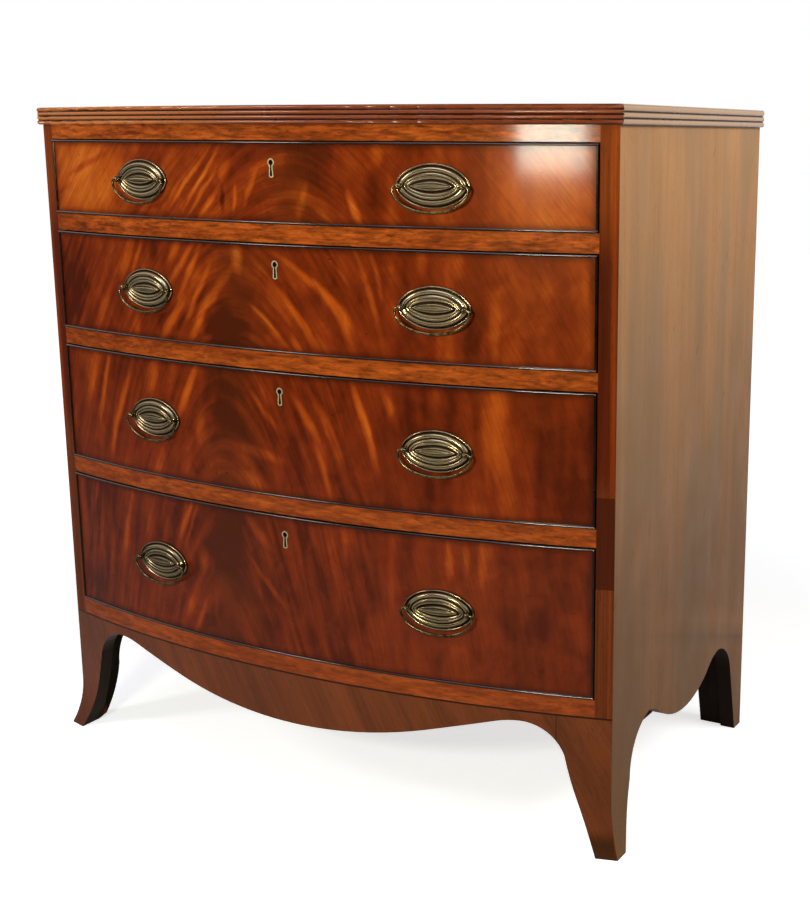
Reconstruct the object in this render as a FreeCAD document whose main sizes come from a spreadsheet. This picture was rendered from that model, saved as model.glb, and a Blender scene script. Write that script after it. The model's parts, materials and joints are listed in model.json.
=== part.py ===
import FreeCAD, Part
import os
import re
import Sketcher

# Bow front chest of drawers: four long drawers, splayed feet, oval plate handles.
# Everything is drawn with x = 0 on the centre line, y = 0 on the line through the two
# front corners of the carcass and z = 0 on the floor. The nodes are then moved along y,
# so that the finished chest stands over the middle of its own floor box.

Vector = FreeCAD.Vector
doc = FreeCAD.newDocument("bow_front_chest")

# Driving sizes in millimetres: name, value, what it is.
SIZES = [
    ("carcass_width", 890, "across the outer faces of the sides"),
    ("side_depth", 464, "from a front corner to the back"),
    ("bow_rise", 60, "how far the middle of the front stands before the corners"),
    ("side_thickness", 22, "side boards"),
    ("top_thickness", 23, "top board"),
    ("top_overhang", 6, "top board past the carcass at the front and ends"),
    ("reed_depth", 2.4, "hollows between the reeds of the top's edge"),
    ("end_top_reed", 8.6, "height of the uppermost reed on the ends"),
    ("base_height", 181, "floor to the underside of the bottom rail"),
    ("rail_thickness", 23, "rails below the drawers"),
    ("top_rail_height", 19, "frieze rail"),
    ("drawer_1_height", 102, "top drawer opening"),
    ("drawer_2_height", 138, "second drawer opening"),
    ("drawer_3_height", 166, "third drawer opening"),
    ("drawer_4_height", 194, "bottom drawer opening"),
    ("rail_back", 30, "straight back edge of the rails behind the corner line"),
    ("housing_depth", 8, "how far boards are let into the sides"),
    ("tenon_thickness", 11, "stub tenons on the rails"),
    ("tenon_setback", 6, "front of a tenon behind the corner line"),
    ("runner_width", 35, "runners and kickers"),
    ("dustboard_thickness", 10, "boards between the drawers"),
    ("groove_depth", 8, "grooves that hold the dustboards"),
    ("bottom_board_thickness", 16, "board under the bottom drawer"),
    ("back_board_thickness", 12, "back boards"),
    ("back_rebate", 10, "rebate of the sides that takes the back boards"),
    ("back_lap", 8, "half lap between two back boards"),
    ("apron_thickness", 22, "front apron and foot facings"),
    ("joint_inset", 69, "apron joint from the corner"),
    ("lobe_drop", 72, "lowest point of the front lobe below the base line"),
    ("lobe_edge_inset", 245, "end of the round lobe from the corner"),
    ("lobe_edge_drop", 46, "end of the round lobe below the base line"),
    ("arch_start_inset", 145, "start of the front arch from the corner"),
    ("arch_start_drop", 18.5, "start of the front arch below the base line"),
    ("arch_bend_inset", 130, "bend of the front arch from the corner"),
    ("arch_bend_drop", 15.6, "bend of the front arch below the base line"),
    ("arch_peak_inset", 115, "peak of the front arch from the corner"),
    ("arch_peak_drop", 14.6, "peak of the front arch below the base line"),
    ("knee_inset", 80.6, "round knee of the front foot from the corner"),
    ("knee_drop", 25.5, "round knee of the front foot below the base line"),
    ("shin_inset", 58.6, "top of the shin from the corner"),
    ("shin_drop", 54.1, "top of the shin below the base line"),
    ("ankle_inset", 36, "swell of the front foot from the corner"),
    ("ankle_drop", 130, "swell of the front foot below the base line"),
    ("toe_width", 12.5, "front foot at the floor, without its flare"),
    ("foot_flare", 15, "how far the front feet splay outward"),
    ("flare_height", 70, "height at which the splay begins"),
    ("side_toe_depth", 13, "front foot at the floor, seen from the end, without its flare"),
    ("side_ankle_depth", 37, "swell of that foot from the corner"),
    ("side_ankle_drop", 150, "the same below the base line"),
    ("side_shin_depth", 55, "top of that foot's shin from the corner"),
    ("side_shin_drop", 101, "the same below the base line"),
    ("side_knee_depth", 72, "round knee of that foot from the corner"),
    ("side_knee_drop", 53, "the same below the base line"),
    ("side_arch_depth", 112, "peak of the first end arch from the corner"),
    ("side_arch_drop", 30, "the same below the base line"),
    ("side_turn_depth", 130, "fall of the first end arch from the corner"),
    ("side_turn_drop", 34, "the same below the base line"),
    ("side_lobe_start", 146, "start of the end lobe from the corner"),
    ("side_lobe_start_drop", 43, "the same below the base line"),
    ("side_lobe_middle", 238, "lowest point of the end lobe from the corner"),
    ("side_lobe_drop", 71, "the same below the base line"),
    ("rear_lobe_inset", 146, "end of the end lobe from the back"),
    ("rear_lobe_drop", 47, "the same below the base line"),
    ("rear_turn_inset", 126, "rise of the second end arch from the back"),
    ("rear_turn_drop", 34.5, "the same below the base line"),
    ("rear_arch_inset", 102, "peak of the second end arch from the back"),
    ("rear_arch_drop", 28.5, "the same below the base line"),
    ("rear_knee_inset", 70, "round knee of the rear foot from the back"),
    ("rear_knee_drop", 42, "the same below the base line"),
    ("rear_shin_inset", 50, "top of the rear foot's shin from the back"),
    ("rear_shin_drop", 75, "the same below the base line"),
    ("rear_toe_depth", 24, "rear foot at the floor, seen from the end"),
    ("bracket_thickness", 18, "bracket board behind each rear foot"),
    ("bracket_toe", 57, "bracket's inner edge at the floor from the outer face"),
    ("bracket_reach", 110, "bracket's top edge from the outer face"),
    ("bracket_shin", 69, "bracket's shin from the outer face"),
    ("bracket_shin_drop", 71, "the same below the base line"),
    ("bracket_knee", 84, "bracket's round knee from the outer face"),
    ("bracket_knee_drop", 33, "the same below the base line"),
    ("bracket_ear", 16, "height of the bracket's inner end"),
    ("foot_block_width", 16, "corner blocks in the feet"),
    ("foot_block_depth", 34, "back of the front foot block behind the corner line"),
    ("foot_block_lift", 80, "front foot block above the floor"),
    ("rear_block_lift", 45, "rear foot block above the floor"),
    ("glue_block_length", 60, "glue blocks behind the front apron"),
    ("glue_block_width", 20, "their width and height"),
    ("glue_block_place", 110, "middle of the inner glue blocks from the centre line"),
    ("glue_block_step", 160, "from an inner glue block to the outer one"),
    ("end_block_start", 130, "glue block behind an end apron, from the corner"),
    ("end_block_length", 45, "the same block's length"),
    ("end_block_drop", 60, "the same block below the base line"),
    ("drawer_side_gap", 1.2, "drawer front to the sides"),
    ("drawer_top_gap", 1.5, "drawer front to the rail above"),
    ("drawer_run_gap", 0.3, "drawer above its runners"),
    ("front_thickness", 22, "drawer fronts"),
    ("lining_thickness", 10, "drawer sides and backs"),
    ("lining_drop", 5, "top of the drawer sides below the front's top"),
    ("back_drop", 12, "top of the drawer back below the front's top"),
    ("drawer_back_gap", 16, "drawer back to the back boards"),
    ("bottom_thickness", 7, "drawer bottoms"),
    ("bottom_lift", 10, "drawer bottom above the drawer's lower edge"),
    ("bottom_groove", 5, "groove that holds a drawer bottom"),
    ("bead_thickness", 3, "cockbeads"),
    ("bead_proud", 2.4, "cockbeads before the drawer's face"),
    ("bead_depth", 12, "cockbeads into the drawer's edge"),
    ("dovetail_lap", 7, "wood before the front dovetails"),
    ("dovetail_slope", 6, "run of a dovetail for one of spread"),
    ("tail_margin", 5, "wood above and below the row of dovetails"),
    ("socket_pass", 1, "dovetail sockets cut past the back of the front"),
    ("pin_width", 9, "wood between two dovetails at their wide ends"),
    ("key_drop", 32, "middle of the keyhole below the drawer's top"),
    ("key_height", 23.5, "thread escutcheon"),
    ("key_head", 5, "radius of its round head"),
    ("key_neck", 2.7, "half width of its neck"),
    ("key_foot", 3.5, "half width of its foot"),
    ("key_thread", 1.7, "width of the brass thread"),
    ("key_depth", 3.5, "escutcheon into the wood"),
    ("key_proud", 0.4, "escutcheon before the wood"),
    ("key_pin_radius", 1.5, "drill pin that a key turns on"),
    ("lock_width", 60, "lock plate"),
    ("lock_height", 50, "lock plate"),
    ("lock_margin", 3, "lock plate past its case"),
    ("lock_depth", 9, "lock case let into the front"),
    ("lock_plate", 1.5, "thickness of the plates of the lock"),
    ("bolt_width", 22, "lock bolt"),
    ("bolt_thickness", 5, "lock bolt"),
    ("bolt_height", 24, "lock bolt"),
    ("bolt_gap", 0.25, "lock bolt in its case"),
    ("bolt_throw", 8, "how far the bolt shoots"),
    ("mortise_gap", 1, "mortise round a bolt that is shot"),
    ("stop_place", 180, "drawer stop from the centre line"),
    ("stop_length", 40, "drawer stop"),
    ("stop_back", 8, "back of a drawer stop behind the corner line"),
    ("stop_height", 6, "drawer stop"),
    ("stop_gap", 0.4, "drawer stop to the closed front"),
    ("handle_place", 225, "middle of a handle from the centre line"),
    ("plate_half_length", 46, "oval plate"),
    ("plate_half_height", 28.5, "oval plate"),
    ("plate_end_radius", 19, "ends of the oval plate"),
    ("plate_height", 1.1, "flat of the oval plate"),
    ("rim_width", 3, "bead round the plate's rim"),
    ("rim_height", 1, "the bead above the flat"),
    ("outer_half_length", 40.5, "outer ridge on the plate"),
    ("outer_half_height", 22.6, "outer ridge on the plate"),
    ("outer_end_radius", 14, "ends of the outer ridge"),
    ("outer_width", 6, "width of the outer ridge"),
    ("outer_height", 2.8, "outer ridge above the flat"),
    ("inner_half_length", 35.5, "inner ridge on the plate"),
    ("inner_half_height", 15.4, "inner ridge on the plate"),
    ("inner_end_radius", 7.5, "ends of the inner ridge"),
    ("inner_width", 4.8, "width of the inner ridge"),
    ("inner_height", 3.3, "inner ridge above the flat"),
    ("eye_half_length", 28, "pointed oval in the middle"),
    ("eye_half_height", 5.6, "pointed oval in the middle"),
    ("eye_height", 3.7, "pointed oval above the flat"),
    ("post_place", 41.2, "handle post from the middle of its plate"),
    ("post_shank", 2.4, "radius of the post in the wood"),
    ("post_collar", 3.8, "radius of the post's collar"),
    ("collar_height", 1.2, "collar on the plate"),
    ("post_neck", 2.5, "radius of the post's neck"),
    ("post_ball", 3.9, "radius of the post's round head"),
    ("bail_stand", 9.6, "bail's axis before the drawer's face"),
    ("bail_wire", 1.8, "radius of the bail"),
    ("bail_gap", 0.1, "bail's pin in its post, on the radius"),
    ("bail_half_length", 51, "middle of the bail's wire"),
    ("bail_drop", 31.5, "lowest point of the bail's wire below its axis"),
    ("bail_corner", 4, "bend at the bail's ends"),
    ("bail_end_radius", 16, "round ends of the bail"),
    ("bail_pin_end", 4.6, "bail's pin past the middle of its post"),
    ("nut_radius", 6, "nut on a handle post, across its corners"),
    ("nut_thickness", 3.5, "nut on a handle post"),
    ("nut_gap", 0.2, "nut to the bowed back of the drawer front"),
    ("post_tail", 2, "post past its nut"),
]

# Sizes that follow from the driving ones.
LEVELS = [
    ("drawer_4_floor", "base_height + rail_thickness"),
    ("rail_3_floor", "drawer_4_floor + drawer_4_height"),
    ("drawer_3_floor", "rail_3_floor + rail_thickness"),
    ("rail_2_floor", "drawer_3_floor + drawer_3_height"),
    ("drawer_2_floor", "rail_2_floor + rail_thickness"),
    ("rail_1_floor", "drawer_2_floor + drawer_2_height"),
    ("drawer_1_floor", "rail_1_floor + rail_thickness"),
    ("top_rail_floor", "drawer_1_floor + drawer_1_height"),
    ("top_floor", "top_rail_floor + top_rail_height"),
]
FOLLOWING = LEVELS + [
    ("half_width", "carcass_width / 2"),
    ("inner_half", "half_width - side_thickness"),
    ("bow_radius", "(half_width^2 + bow_rise^2) / (2 * bow_rise)"),
    ("bow_centre", "bow_radius - bow_rise"),
    ("middle_shift", "-(side_depth - bow_rise - top_overhang) / 2"),
    ("flare_radius", "(flare_height^2 + foot_flare^2) / (2 * foot_flare)"),
    ("flare_middle", "flare_radius - sqrt(flare_radius^2 - flare_height^2 / 4)"),
    ("back_face", "side_depth - back_board_thickness"),
    ("drawer_half", "inner_half - drawer_side_gap"),
    ("drawer_rear", "back_face - drawer_back_gap"),
    ("inner_face", "bow_radius - front_thickness"),
    ("lock_face", "front_thickness - bow_rise"),
    ("bolt_back", "lock_face - (lock_depth - bolt_thickness) / 2"),
    ("nut_seat", "front_thickness + post_place^2 / (2 * bow_radius) + nut_gap"),
    ("tail_tip", "bow_centre - sqrt(bow_radius^2 - drawer_half^2) + dovetail_lap"),
    ("tail_root", "bow_centre - sqrt(inner_face^2 - drawer_half^2) + socket_pass"),
    ("handle_turn", "asin(handle_place / bow_radius)"),
    ("handle_face", "bow_centre - sqrt(bow_radius^2 - handle_place^2)"),
    ("plate_arc", "(plate_half_length^2 + plate_half_height^2 - 2 * plate_half_length * plate_end_radius)"
                  " / (2 * (plate_half_height - plate_end_radius))"),
    ("outer_arc", "(outer_half_length^2 + outer_half_height^2 - 2 * outer_half_length * outer_end_radius)"
                  " / (2 * (outer_half_height - outer_end_radius))"),
    ("inner_arc", "(inner_half_length^2 + inner_half_height^2 - 2 * inner_half_length * inner_end_radius)"
                  " / (2 * (inner_half_height - inner_end_radius))"),
    ("bail_belly", "bail_drop - bail_corner"),
    ("bail_arc", "(bail_half_length^2 + bail_belly^2 - 2 * bail_half_length * bail_end_radius)"
                 " / (2 * (bail_belly - bail_end_radius))"),
    ("bail_cosine", "(bail_half_length - bail_end_radius) / (bail_arc - bail_end_radius)"),
    ("bail_sine", "(bail_arc - bail_belly) / (bail_arc - bail_end_radius)"),
]
FRONT_REEDS = 4
END_REEDS = 3
BACK_BOARDS = 4
FRONT_TAILS = {1: 3, 2: 4, 3: 5, 4: 5}
REAR_TAILS = {1: 2, 2: 3, 3: 4, 4: 4}
DRAWERS = (1, 2, 3, 4)
RIDGE_SLOPE = -25
EYE_SLOPE = -45
FAR = "(side_depth + carcass_width)"
PLANES = {
    "XY": (Vector(0, 0, 1), 0, "z", ""),
    "XZ": (Vector(1, 0, 0), 90, "y", "-"),
    "YZ": (Vector(1, 1, 1), 120, "x", ""),
}

homes = {}
nodes = []


def linked(text):
    """The same expression with every size's name led by the sheet that holds it."""
    return re.sub(r"[a-z][a-z0-9_]*", lambda word: homes.get(word.group(0), word.group(0)), text)


def fill_sheet(name, rows, formula):
    sheet = doc.addObject("Spreadsheet::Sheet", name)
    for index, row in enumerate(rows, 1):
        sheet.set(f"A{index}", row[0])
        sheet.set(f"B{index}", "=" + linked(row[1]).replace(name + ".", "") if formula else str(row[1]))
        sheet.setAlias(f"B{index}", row[0])
        homes[row[0]] = f"{name}.{row[0]}"
        if not formula:
            sheet.set(f"C{index}", row[2])
    doc.recompute()
    return sheet


sizes = fill_sheet("Sizes", SIZES, False)
following = fill_sheet("Following", FOLLOWING, True)


def value(text):
    return float(sizes.evalExpression(linked(text)))


def bind(thing, **properties):
    """Ties properties to sizes; a double underscore in a name stands for a dot."""
    for path, text in properties.items():
        thing.setExpression(path.replace("__", "."), linked(text))
    return thing


def fix_point(sketch, shape, end, x, y):
    for kind, text in (("DistanceX", x), ("DistanceY", y)):
        index = sketch.addConstraint(Sketcher.Constraint(kind, -1, 1, shape, end, value(text)))
        sketch.setExpression(f"Constraints[{index}]", linked(text))


def draw_run(sketch, start, step):
    """One straight run (x, y), or one arc (through x, through y, x, y), from start."""
    finish = Vector(value(step[-2]), value(step[-1]), 0)
    if len(step) == 2:
        return sketch.addGeometry(Part.LineSegment(start, finish)), 1, 2
    middle = Vector(value(step[0]), value(step[1]), 0)
    shape = sketch.addGeometry(Part.Arc(start, middle, finish))
    marker = sketch.addGeometry(Part.Point(middle), True)
    sketch.addConstraint(Sketcher.Constraint("PointOnObject", marker, 1, shape))
    fix_point(sketch, marker, 1, step[0], step[1])
    backward = (sketch.getPoint(shape, 1) - start).Length > (sketch.getPoint(shape, 2) - start).Length
    return (shape, 2, 1) if backward else (shape, 1, 2)


def draw(sketch, loop, closed=True):
    """A chain of runs; a closed one starts where its last run ends."""
    corner = loop[-1] if closed else loop[0]
    start = Vector(value(corner[-2]), value(corner[-1]), 0)
    runs = []
    for step in loop if closed else loop[1:]:
        runs.append(draw_run(sketch, start, step))
        fix_point(sketch, runs[-1][0], runs[-1][2], step[-2], step[-1])
        start = Vector(value(step[-2]), value(step[-1]), 0)
    if not closed:
        fix_point(sketch, runs[0][0], runs[0][1], *corner)
    for index in range(0 if closed else 1, len(runs)):
        before, after = runs[index - 1], runs[index]
        sketch.addConstraint(Sketcher.Constraint("Coincident", before[0], before[2], after[0], after[1]))
    return sketch


def body_sketch(body, name, plane, loops, offset="0", origin_x="0"):
    """A sketch on one of the body's own planes, moved along its normal and its first axis."""
    sketch = body.newObject("Sketcher::SketchObject", name)
    base = next(item for item in body.Origin.OriginFeatures if item.Role == plane + "_Plane")
    sketch.AttachmentSupport = [(base, "")]
    sketch.MapMode = "FlatFace"
    bind(sketch, AttachmentOffset__Base__z=offset, AttachmentOffset__Base__x=origin_x)
    for loop in loops:
        draw(sketch, loop)
    return sketch


def free_sketch(name, plane, loops, offset="0", closed=True):
    axis, turn, side, sign = PLANES[plane]
    sketch = doc.addObject("Sketcher::SketchObject", name)
    sketch.Placement = FreeCAD.Placement(Vector(), FreeCAD.Rotation(axis, turn))
    bind(sketch, **{f"Placement__Base__{side}": f"{sign}({offset})"})
    for loop in loops:
        draw(sketch, loop, closed)
    return sketch


def pad(name, plane, loop, offset, length):
    """A board: one outline, padded along the plane's normal from the offset."""
    body = doc.addObject("PartDesign::Body", name)
    feature = body.newObject("PartDesign::Pad", name + "_pad")
    feature.Profile = body_sketch(body, name + "_outline", plane, [loop], offset)
    bind(feature, Length=length)
    return body


def prisms(name, plane, loops, offset, length):
    """Several outlines at once, extruded along the plane's normal from the offset."""
    feature = doc.addObject("Part::Extrusion", name)
    feature.Base = free_sketch(name + "_outlines", plane, loops, offset)
    feature.DirMode = "Normal"
    feature.Solid = True
    return bind(feature, LengthFwd=length)


def bow_turn(name, loops):
    """Profiles in y and z, turned about the upright axis of the bow."""
    feature = doc.addObject("Part::Revolution", name)
    feature.Source = free_sketch(name + "_profile", "YZ", loops)
    feature.Axis = Vector(0, 0, 1)
    feature.Angle = 360
    feature.Solid = True
    return bind(feature, Base__y="bow_centre")


def box(name, x, y, z):
    """A block between pairs of limits along x, y and z."""
    feature = doc.addObject("Part::Box", name)
    bind(feature, Length=f"({x[1]}) - ({x[0]})", Width=f"({y[1]}) - ({y[0]})", Height=f"({z[1]}) - ({z[0]})")
    return bind(feature, Placement__Base__x=x[0], Placement__Base__y=y[0], Placement__Base__z=z[0])


def bow_cylinder(name, radius, floor="0", height=FAR):
    feature = doc.addObject("Part::Cylinder", name)
    return bind(feature, Radius=radius, Height=height,
                Placement__Base__y="bow_centre", Placement__Base__z=floor)


def cut(name, base, *tools):
    for index, tool in enumerate(tools):
        feature = doc.addObject("Part::Cut", name if index == len(tools) - 1 else f"{name}_less_{index + 1}")
        feature.Base = base
        feature.Tool = tool
        base = feature
    return base


def common(name, *things):
    feature = doc.addObject("Part::MultiCommon", name)
    feature.Shapes = list(things)
    return feature


def fuse(name, *things):
    feature = doc.addObject("Part::MultiFuse", name)
    feature.Shapes = list(things)
    return feature


def group(name, *things, lift="0"):
    feature = doc.addObject("Part::Compound", name)
    feature.Links = list(things)
    return bind(feature, Placement__Base__z=lift)


def mirror(name, thing):
    feature = doc.addObject("Part::Mirroring", name)
    feature.Source = thing
    feature.Normal = Vector(1, 0, 0)
    return feature


def node(label, *things, lift="0"):
    """A finished sub-part, moved to its place in the chest."""
    feature = group(label, *things, lift=lift)
    feature.Label = label
    bind(feature, Placement__Base__y="middle_shift")
    nodes.append(feature)


def bow_y(radius, half):
    return f"bow_centre - sqrt(({radius})^2 - ({half})^2)"


def bowed_plan(half, front, back=None, rear=None):
    """Plan of a board with a bowed front: its back is bowed too (radius back) or straight (rear)."""
    loop = [(f"-({half})", bow_y(front, half)), ("0", f"bow_centre - ({front})", half, bow_y(front, half))]
    if back is None:
        return loop + [(half, rear), (f"-({half})", rear)]
    return loop + [(half, bow_y(back, half)),
                   ("0", f"bow_centre - ({back})", f"-({half})", bow_y(back, half))]


def oval(name, inset="0"):
    """A four-centred oval, drawn in by the inset, whose end arcs and long arcs meet smoothly."""
    length, height, end, arc = [f"({name}_{part} - {inset})"
                                for part in ("half_length", "half_height", "end_radius", "arc")]
    across = f"{arc} * ({length} - {end}) / ({arc} - {end})"
    up = f"({height} - {arc} + {arc} * ({arc} - {height}) / ({arc} - {end}))"
    return [("0", height, across, up), (length, "0", across, f"-{up}"),
            ("0", f"-{height}", f"-{across}", f"-{up}"), (f"-{length}", "0", f"-{across}", up)]


def reeds(edge, floors, sign=""):
    """Waste round a row of reeds: the edge is the reeds' crown, the floors are their lower limits."""
    crown, hollow, waste = edge, f"({edge} - reed_depth)", f"({edge} + reed_depth)"
    loop = [(sign + waste, floors[0]), (sign + hollow, floors[0])]
    for low, high in zip(floors, floors[1:]):
        loop.append((sign + f"({crown})", f"(({low}) + ({high})) / 2", sign + hollow, high))
    return loop + [(sign + waste, floors[-1])]


def top_board():
    crown = "(half_width + top_overhang)"
    body = pad("top_board", "XY", bowed_plan(crown, "bow_radius + top_overhang", rear="side_depth"),
               "top_floor", "top_thickness")
    step = f"top_thickness / {FRONT_REEDS}"
    floors = [f"top_floor + {index} * {step}" for index in range(FRONT_REEDS + 1)]
    groove = body.newObject("PartDesign::Groove", "front_reeds")
    profile = body_sketch(body, "front_reed_waste", "YZ", [reeds("(bow_radius + top_overhang)", floors, "-")],
                          origin_x="bow_centre")
    groove.Profile = profile
    groove.ReferenceAxis = (profile, ["V_Axis"])
    groove.Angle = 360
    lower = f"(top_thickness - end_top_reed) / {END_REEDS - 1}"
    floors = [f"top_floor + {index} * {lower}" for index in range(END_REEDS)] + ["top_floor + top_thickness"]
    pocket = body.newObject("PartDesign::Pocket", "end_reeds")
    pocket.Profile = body_sketch(body, "end_reed_waste", "XZ",
                                 [reeds(crown, floors), reeds(crown, floors, "-")], "bow_rise * 2")
    bind(pocket, Length=FAR)
    node("top", body)


def flare_profile(face, outward):
    """Points of the splay from the floor up to where the face is plumb."""
    return [(f"{face} {outward} flare_middle", "flare_height / 2", face, "flare_height")]


def front_envelope():
    """Everything behind the bowed front, with the splay of the feet at the floor."""
    face = "(bow_centre - bow_radius)"
    return bow_turn("front_envelope", [[("bow_centre", "0"), (f"{face} - foot_flare", "0")]
                                       + flare_profile(face, "-")
                                       + [(face, "top_floor"), ("bow_centre", "top_floor")]])


def end_envelope():
    """Everything inside the right end, with the splay of the front foot only."""
    plain = box("end_plain", ("0", "half_width"), ("-bow_rise * 2", "side_depth"), ("0", "top_floor"))
    toe = [("half_width", "0"), ("half_width + foot_flare", "0")] + flare_profile("half_width", "+")
    splay = pad("end_toe", "XZ", toe, "-side_lobe_middle", "side_lobe_middle + 2 * bow_rise")
    return fuse("end_envelope", plain, splay)


def under(drop):
    return f"base_height - {drop}"


def side_outline():
    """An end seen along x: front foot, first arch, lobe, second arch and rear foot."""
    return [
        ("-bow_rise", "top_floor"), ("-bow_rise", "0"), ("side_toe_depth", "0"),
        ("side_ankle_depth", under("side_ankle_drop"), "side_shin_depth", under("side_shin_drop")),
        ("side_knee_depth", under("side_knee_drop"), "side_arch_depth", under("side_arch_drop")),
        ("side_turn_depth", under("side_turn_drop"), "side_lobe_start", under("side_lobe_start_drop")),
        ("side_lobe_middle", under("side_lobe_drop"),
         "side_depth - rear_lobe_inset", under("rear_lobe_drop")),
        ("side_depth - rear_turn_inset", under("rear_turn_drop"),
         "side_depth - rear_arch_inset", under("rear_arch_drop")),
        ("side_depth - rear_knee_inset", under("rear_knee_drop"),
         "side_depth - rear_shin_inset", under("rear_shin_drop")),
        ("side_depth - rear_toe_depth", "0"), ("side_depth", "0"), ("side_depth", "top_floor"),
    ]


def base_outline():
    """The front below the base line: both feet, both arches and the lobe between them."""
    def spot(sign, inset, drop):
        return f"{sign}(half_width - {inset})", under(drop)

    reach = "(half_width + foot_flare + bow_rise)"
    right = [
        spot("", "lobe_edge_inset", "lobe_edge_drop"),
        spot("", "arch_start_inset", "arch_start_drop"),
        spot("", "arch_bend_inset", "arch_bend_drop") + spot("", "arch_peak_inset", "arch_peak_drop"),
        spot("", "knee_inset", "knee_drop") + spot("", "shin_inset", "shin_drop"),
        spot("", "ankle_inset", "ankle_drop") + ("half_width - toe_width", "0"),
        (reach, "0"), (reach, "base_height"),
    ]
    left = [
        (f"-{reach}", "base_height"), (f"-{reach}", "0"), ("-(half_width - toe_width)", "0"),
        spot("-", "ankle_inset", "ankle_drop") + spot("-", "shin_inset", "shin_drop"),
        spot("-", "knee_inset", "knee_drop") + spot("-", "arch_peak_inset", "arch_peak_drop"),
        spot("-", "arch_bend_inset", "arch_bend_drop") + spot("-", "arch_start_inset", "arch_start_drop"),
        spot("-", "lobe_edge_inset", "lobe_edge_drop"),
    ]
    right[0] = ("0", under("lobe_drop")) + right[0]
    return right + left


def mitre(name, beyond):
    """Below the base line, what lies on one side of the corner mitre between front and end."""
    near, far = "(inner_half - foot_flare)", "(half_width + 2 * foot_flare)"
    loop = [(near, "side_thickness + foot_flare"), (far, "-2 * foot_flare"), (far, beyond), (near, beyond)]
    return pad(name, "XY", loop, "0", "base_height")


def carcass_boards():
    """Rails, runners, dustboards, bottom board and back boards, and the sides that hold them."""
    housed = "(inner_half + housing_depth)"
    grooved = "(inner_half - runner_width + groove_depth)"
    rails = []
    dustboards = []
    runners = []
    for number in (1, 2, 3):
        floor = f"rail_{number}_floor"
        middle = f"({floor} + rail_thickness / 2)"
        board = box(f"dustboard_{number}", (f"-{grooved}", grooved),
                    ("rail_back - groove_depth", "back_face"),
                    (f"{middle} - dustboard_thickness / 2", f"{middle} + dustboard_thickness / 2"))
        dustboards.append(board)
        rails.append(cut(f"rail_{number}", rail(f"rail_{number}", floor, "rail_thickness"), board,
                         mortise(f"rail_{number}_mortise", floor)))
        runner = box(f"runner_{number}_blank", ("inner_half - runner_width", housed),
                     ("rail_back", "back_face"), (floor, f"{floor} + rail_thickness"))
        runners.append(cut(f"runner_{number}", runner, board))
    top_rail = cut("frieze", rail("frieze", "top_rail_floor", "top_rail_height"),
                   mortise("frieze_mortise", "top_rail_floor"))
    runners.append(box("kicker", ("inner_half - runner_width", housed), ("rail_back", "back_face"),
                       ("top_rail_floor", "top_floor")))
    lowest = rail("lowest", "base_height", "rail_thickness")
    bottom = box("bottom", (f"-{housed}", housed), ("rail_back", "back_face"),
                 ("drawer_4_floor - bottom_board_thickness", "drawer_4_floor"))
    backs = back_boards()
    sides(fuse("let_in", *rails, *runners, top_rail, lowest, bottom, *backs))
    node("top_rail", top_rail)
    node("drawer_rails", *rails)
    node("bottom_rail", lowest)
    node("runners", *runners, *[mirror(f"left_{item.Name}", item) for item in runners])
    node("dustboards", *dustboards)
    node("bottom_board", bottom)
    node("back_boards", *backs)


def rail(name, floor, height):
    """A bowed rail with a stub tenon at each end."""
    middle = f"({floor} + {height} / 2)"
    body = pad(f"{name}_board", "XY", bowed_plan("inner_half", "bow_radius", rear="rail_back"), floor, height)
    tenon = box(f"{name}_tenon", ("-(inner_half + housing_depth)", "inner_half + housing_depth"),
                ("tenon_setback", "rail_back"),
                (f"{middle} - tenon_thickness / 2", f"{middle} + tenon_thickness / 2"))
    return fuse(f"{name}_tenoned", body, tenon)


def mortise(name, floor):
    """Room for the bolt of the lock below, in the underside of a rail."""
    return box(name, ("-(bolt_width / 2 + mortise_gap)", "bolt_width / 2 + mortise_gap"),
               ("bolt_back - bolt_thickness - mortise_gap", "bolt_back + mortise_gap"),
               (floor, f"{floor} + bolt_throw - drawer_top_gap + mortise_gap"))


def back_boards():
    """Horizontal boards that lap each other by half their thickness."""
    reach = "(inner_half + back_rebate)"
    step = f"(top_floor - base_height) / {BACK_BOARDS}"
    inside, half, outside = "back_face", "(side_depth - back_board_thickness / 2)", "side_depth"
    boards = []
    for index in range(BACK_BOARDS):
        low, high = f"(base_height + {index} * {step})", f"(base_height + {index + 1} * {step})"
        loop = [(inside, low), (inside, high)]
        if index < BACK_BOARDS - 1:
            loop += [(half, high), (half, f"{high} + back_lap"), (outside, f"{high} + back_lap")]
        else:
            loop += [(outside, high)]
        if index > 0:
            loop += [(outside, f"{low} + back_lap"), (half, f"{low} + back_lap"), (half, low)]
        else:
            loop += [(outside, low)]
        boards.append(pad(f"back_board_{index + 1}", "YZ", loop, f"-{reach}", f"2 * {reach}"))
    return boards


def sides(let_in):
    """Each end is one board from the top down to the floor, mitred to the foot facing."""
    blank = pad("side_blank", "YZ", side_outline(), "inner_half", "side_thickness + foot_flare")
    shaped = common("side_shaped", blank, front_envelope(), end_envelope())
    right = cut("right_side_board", shaped, mitre("before_mitre", "-bow_rise * 2"), let_in)
    node("right_side", right)
    node("left_side", mirror("left_side_board", right))


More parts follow.
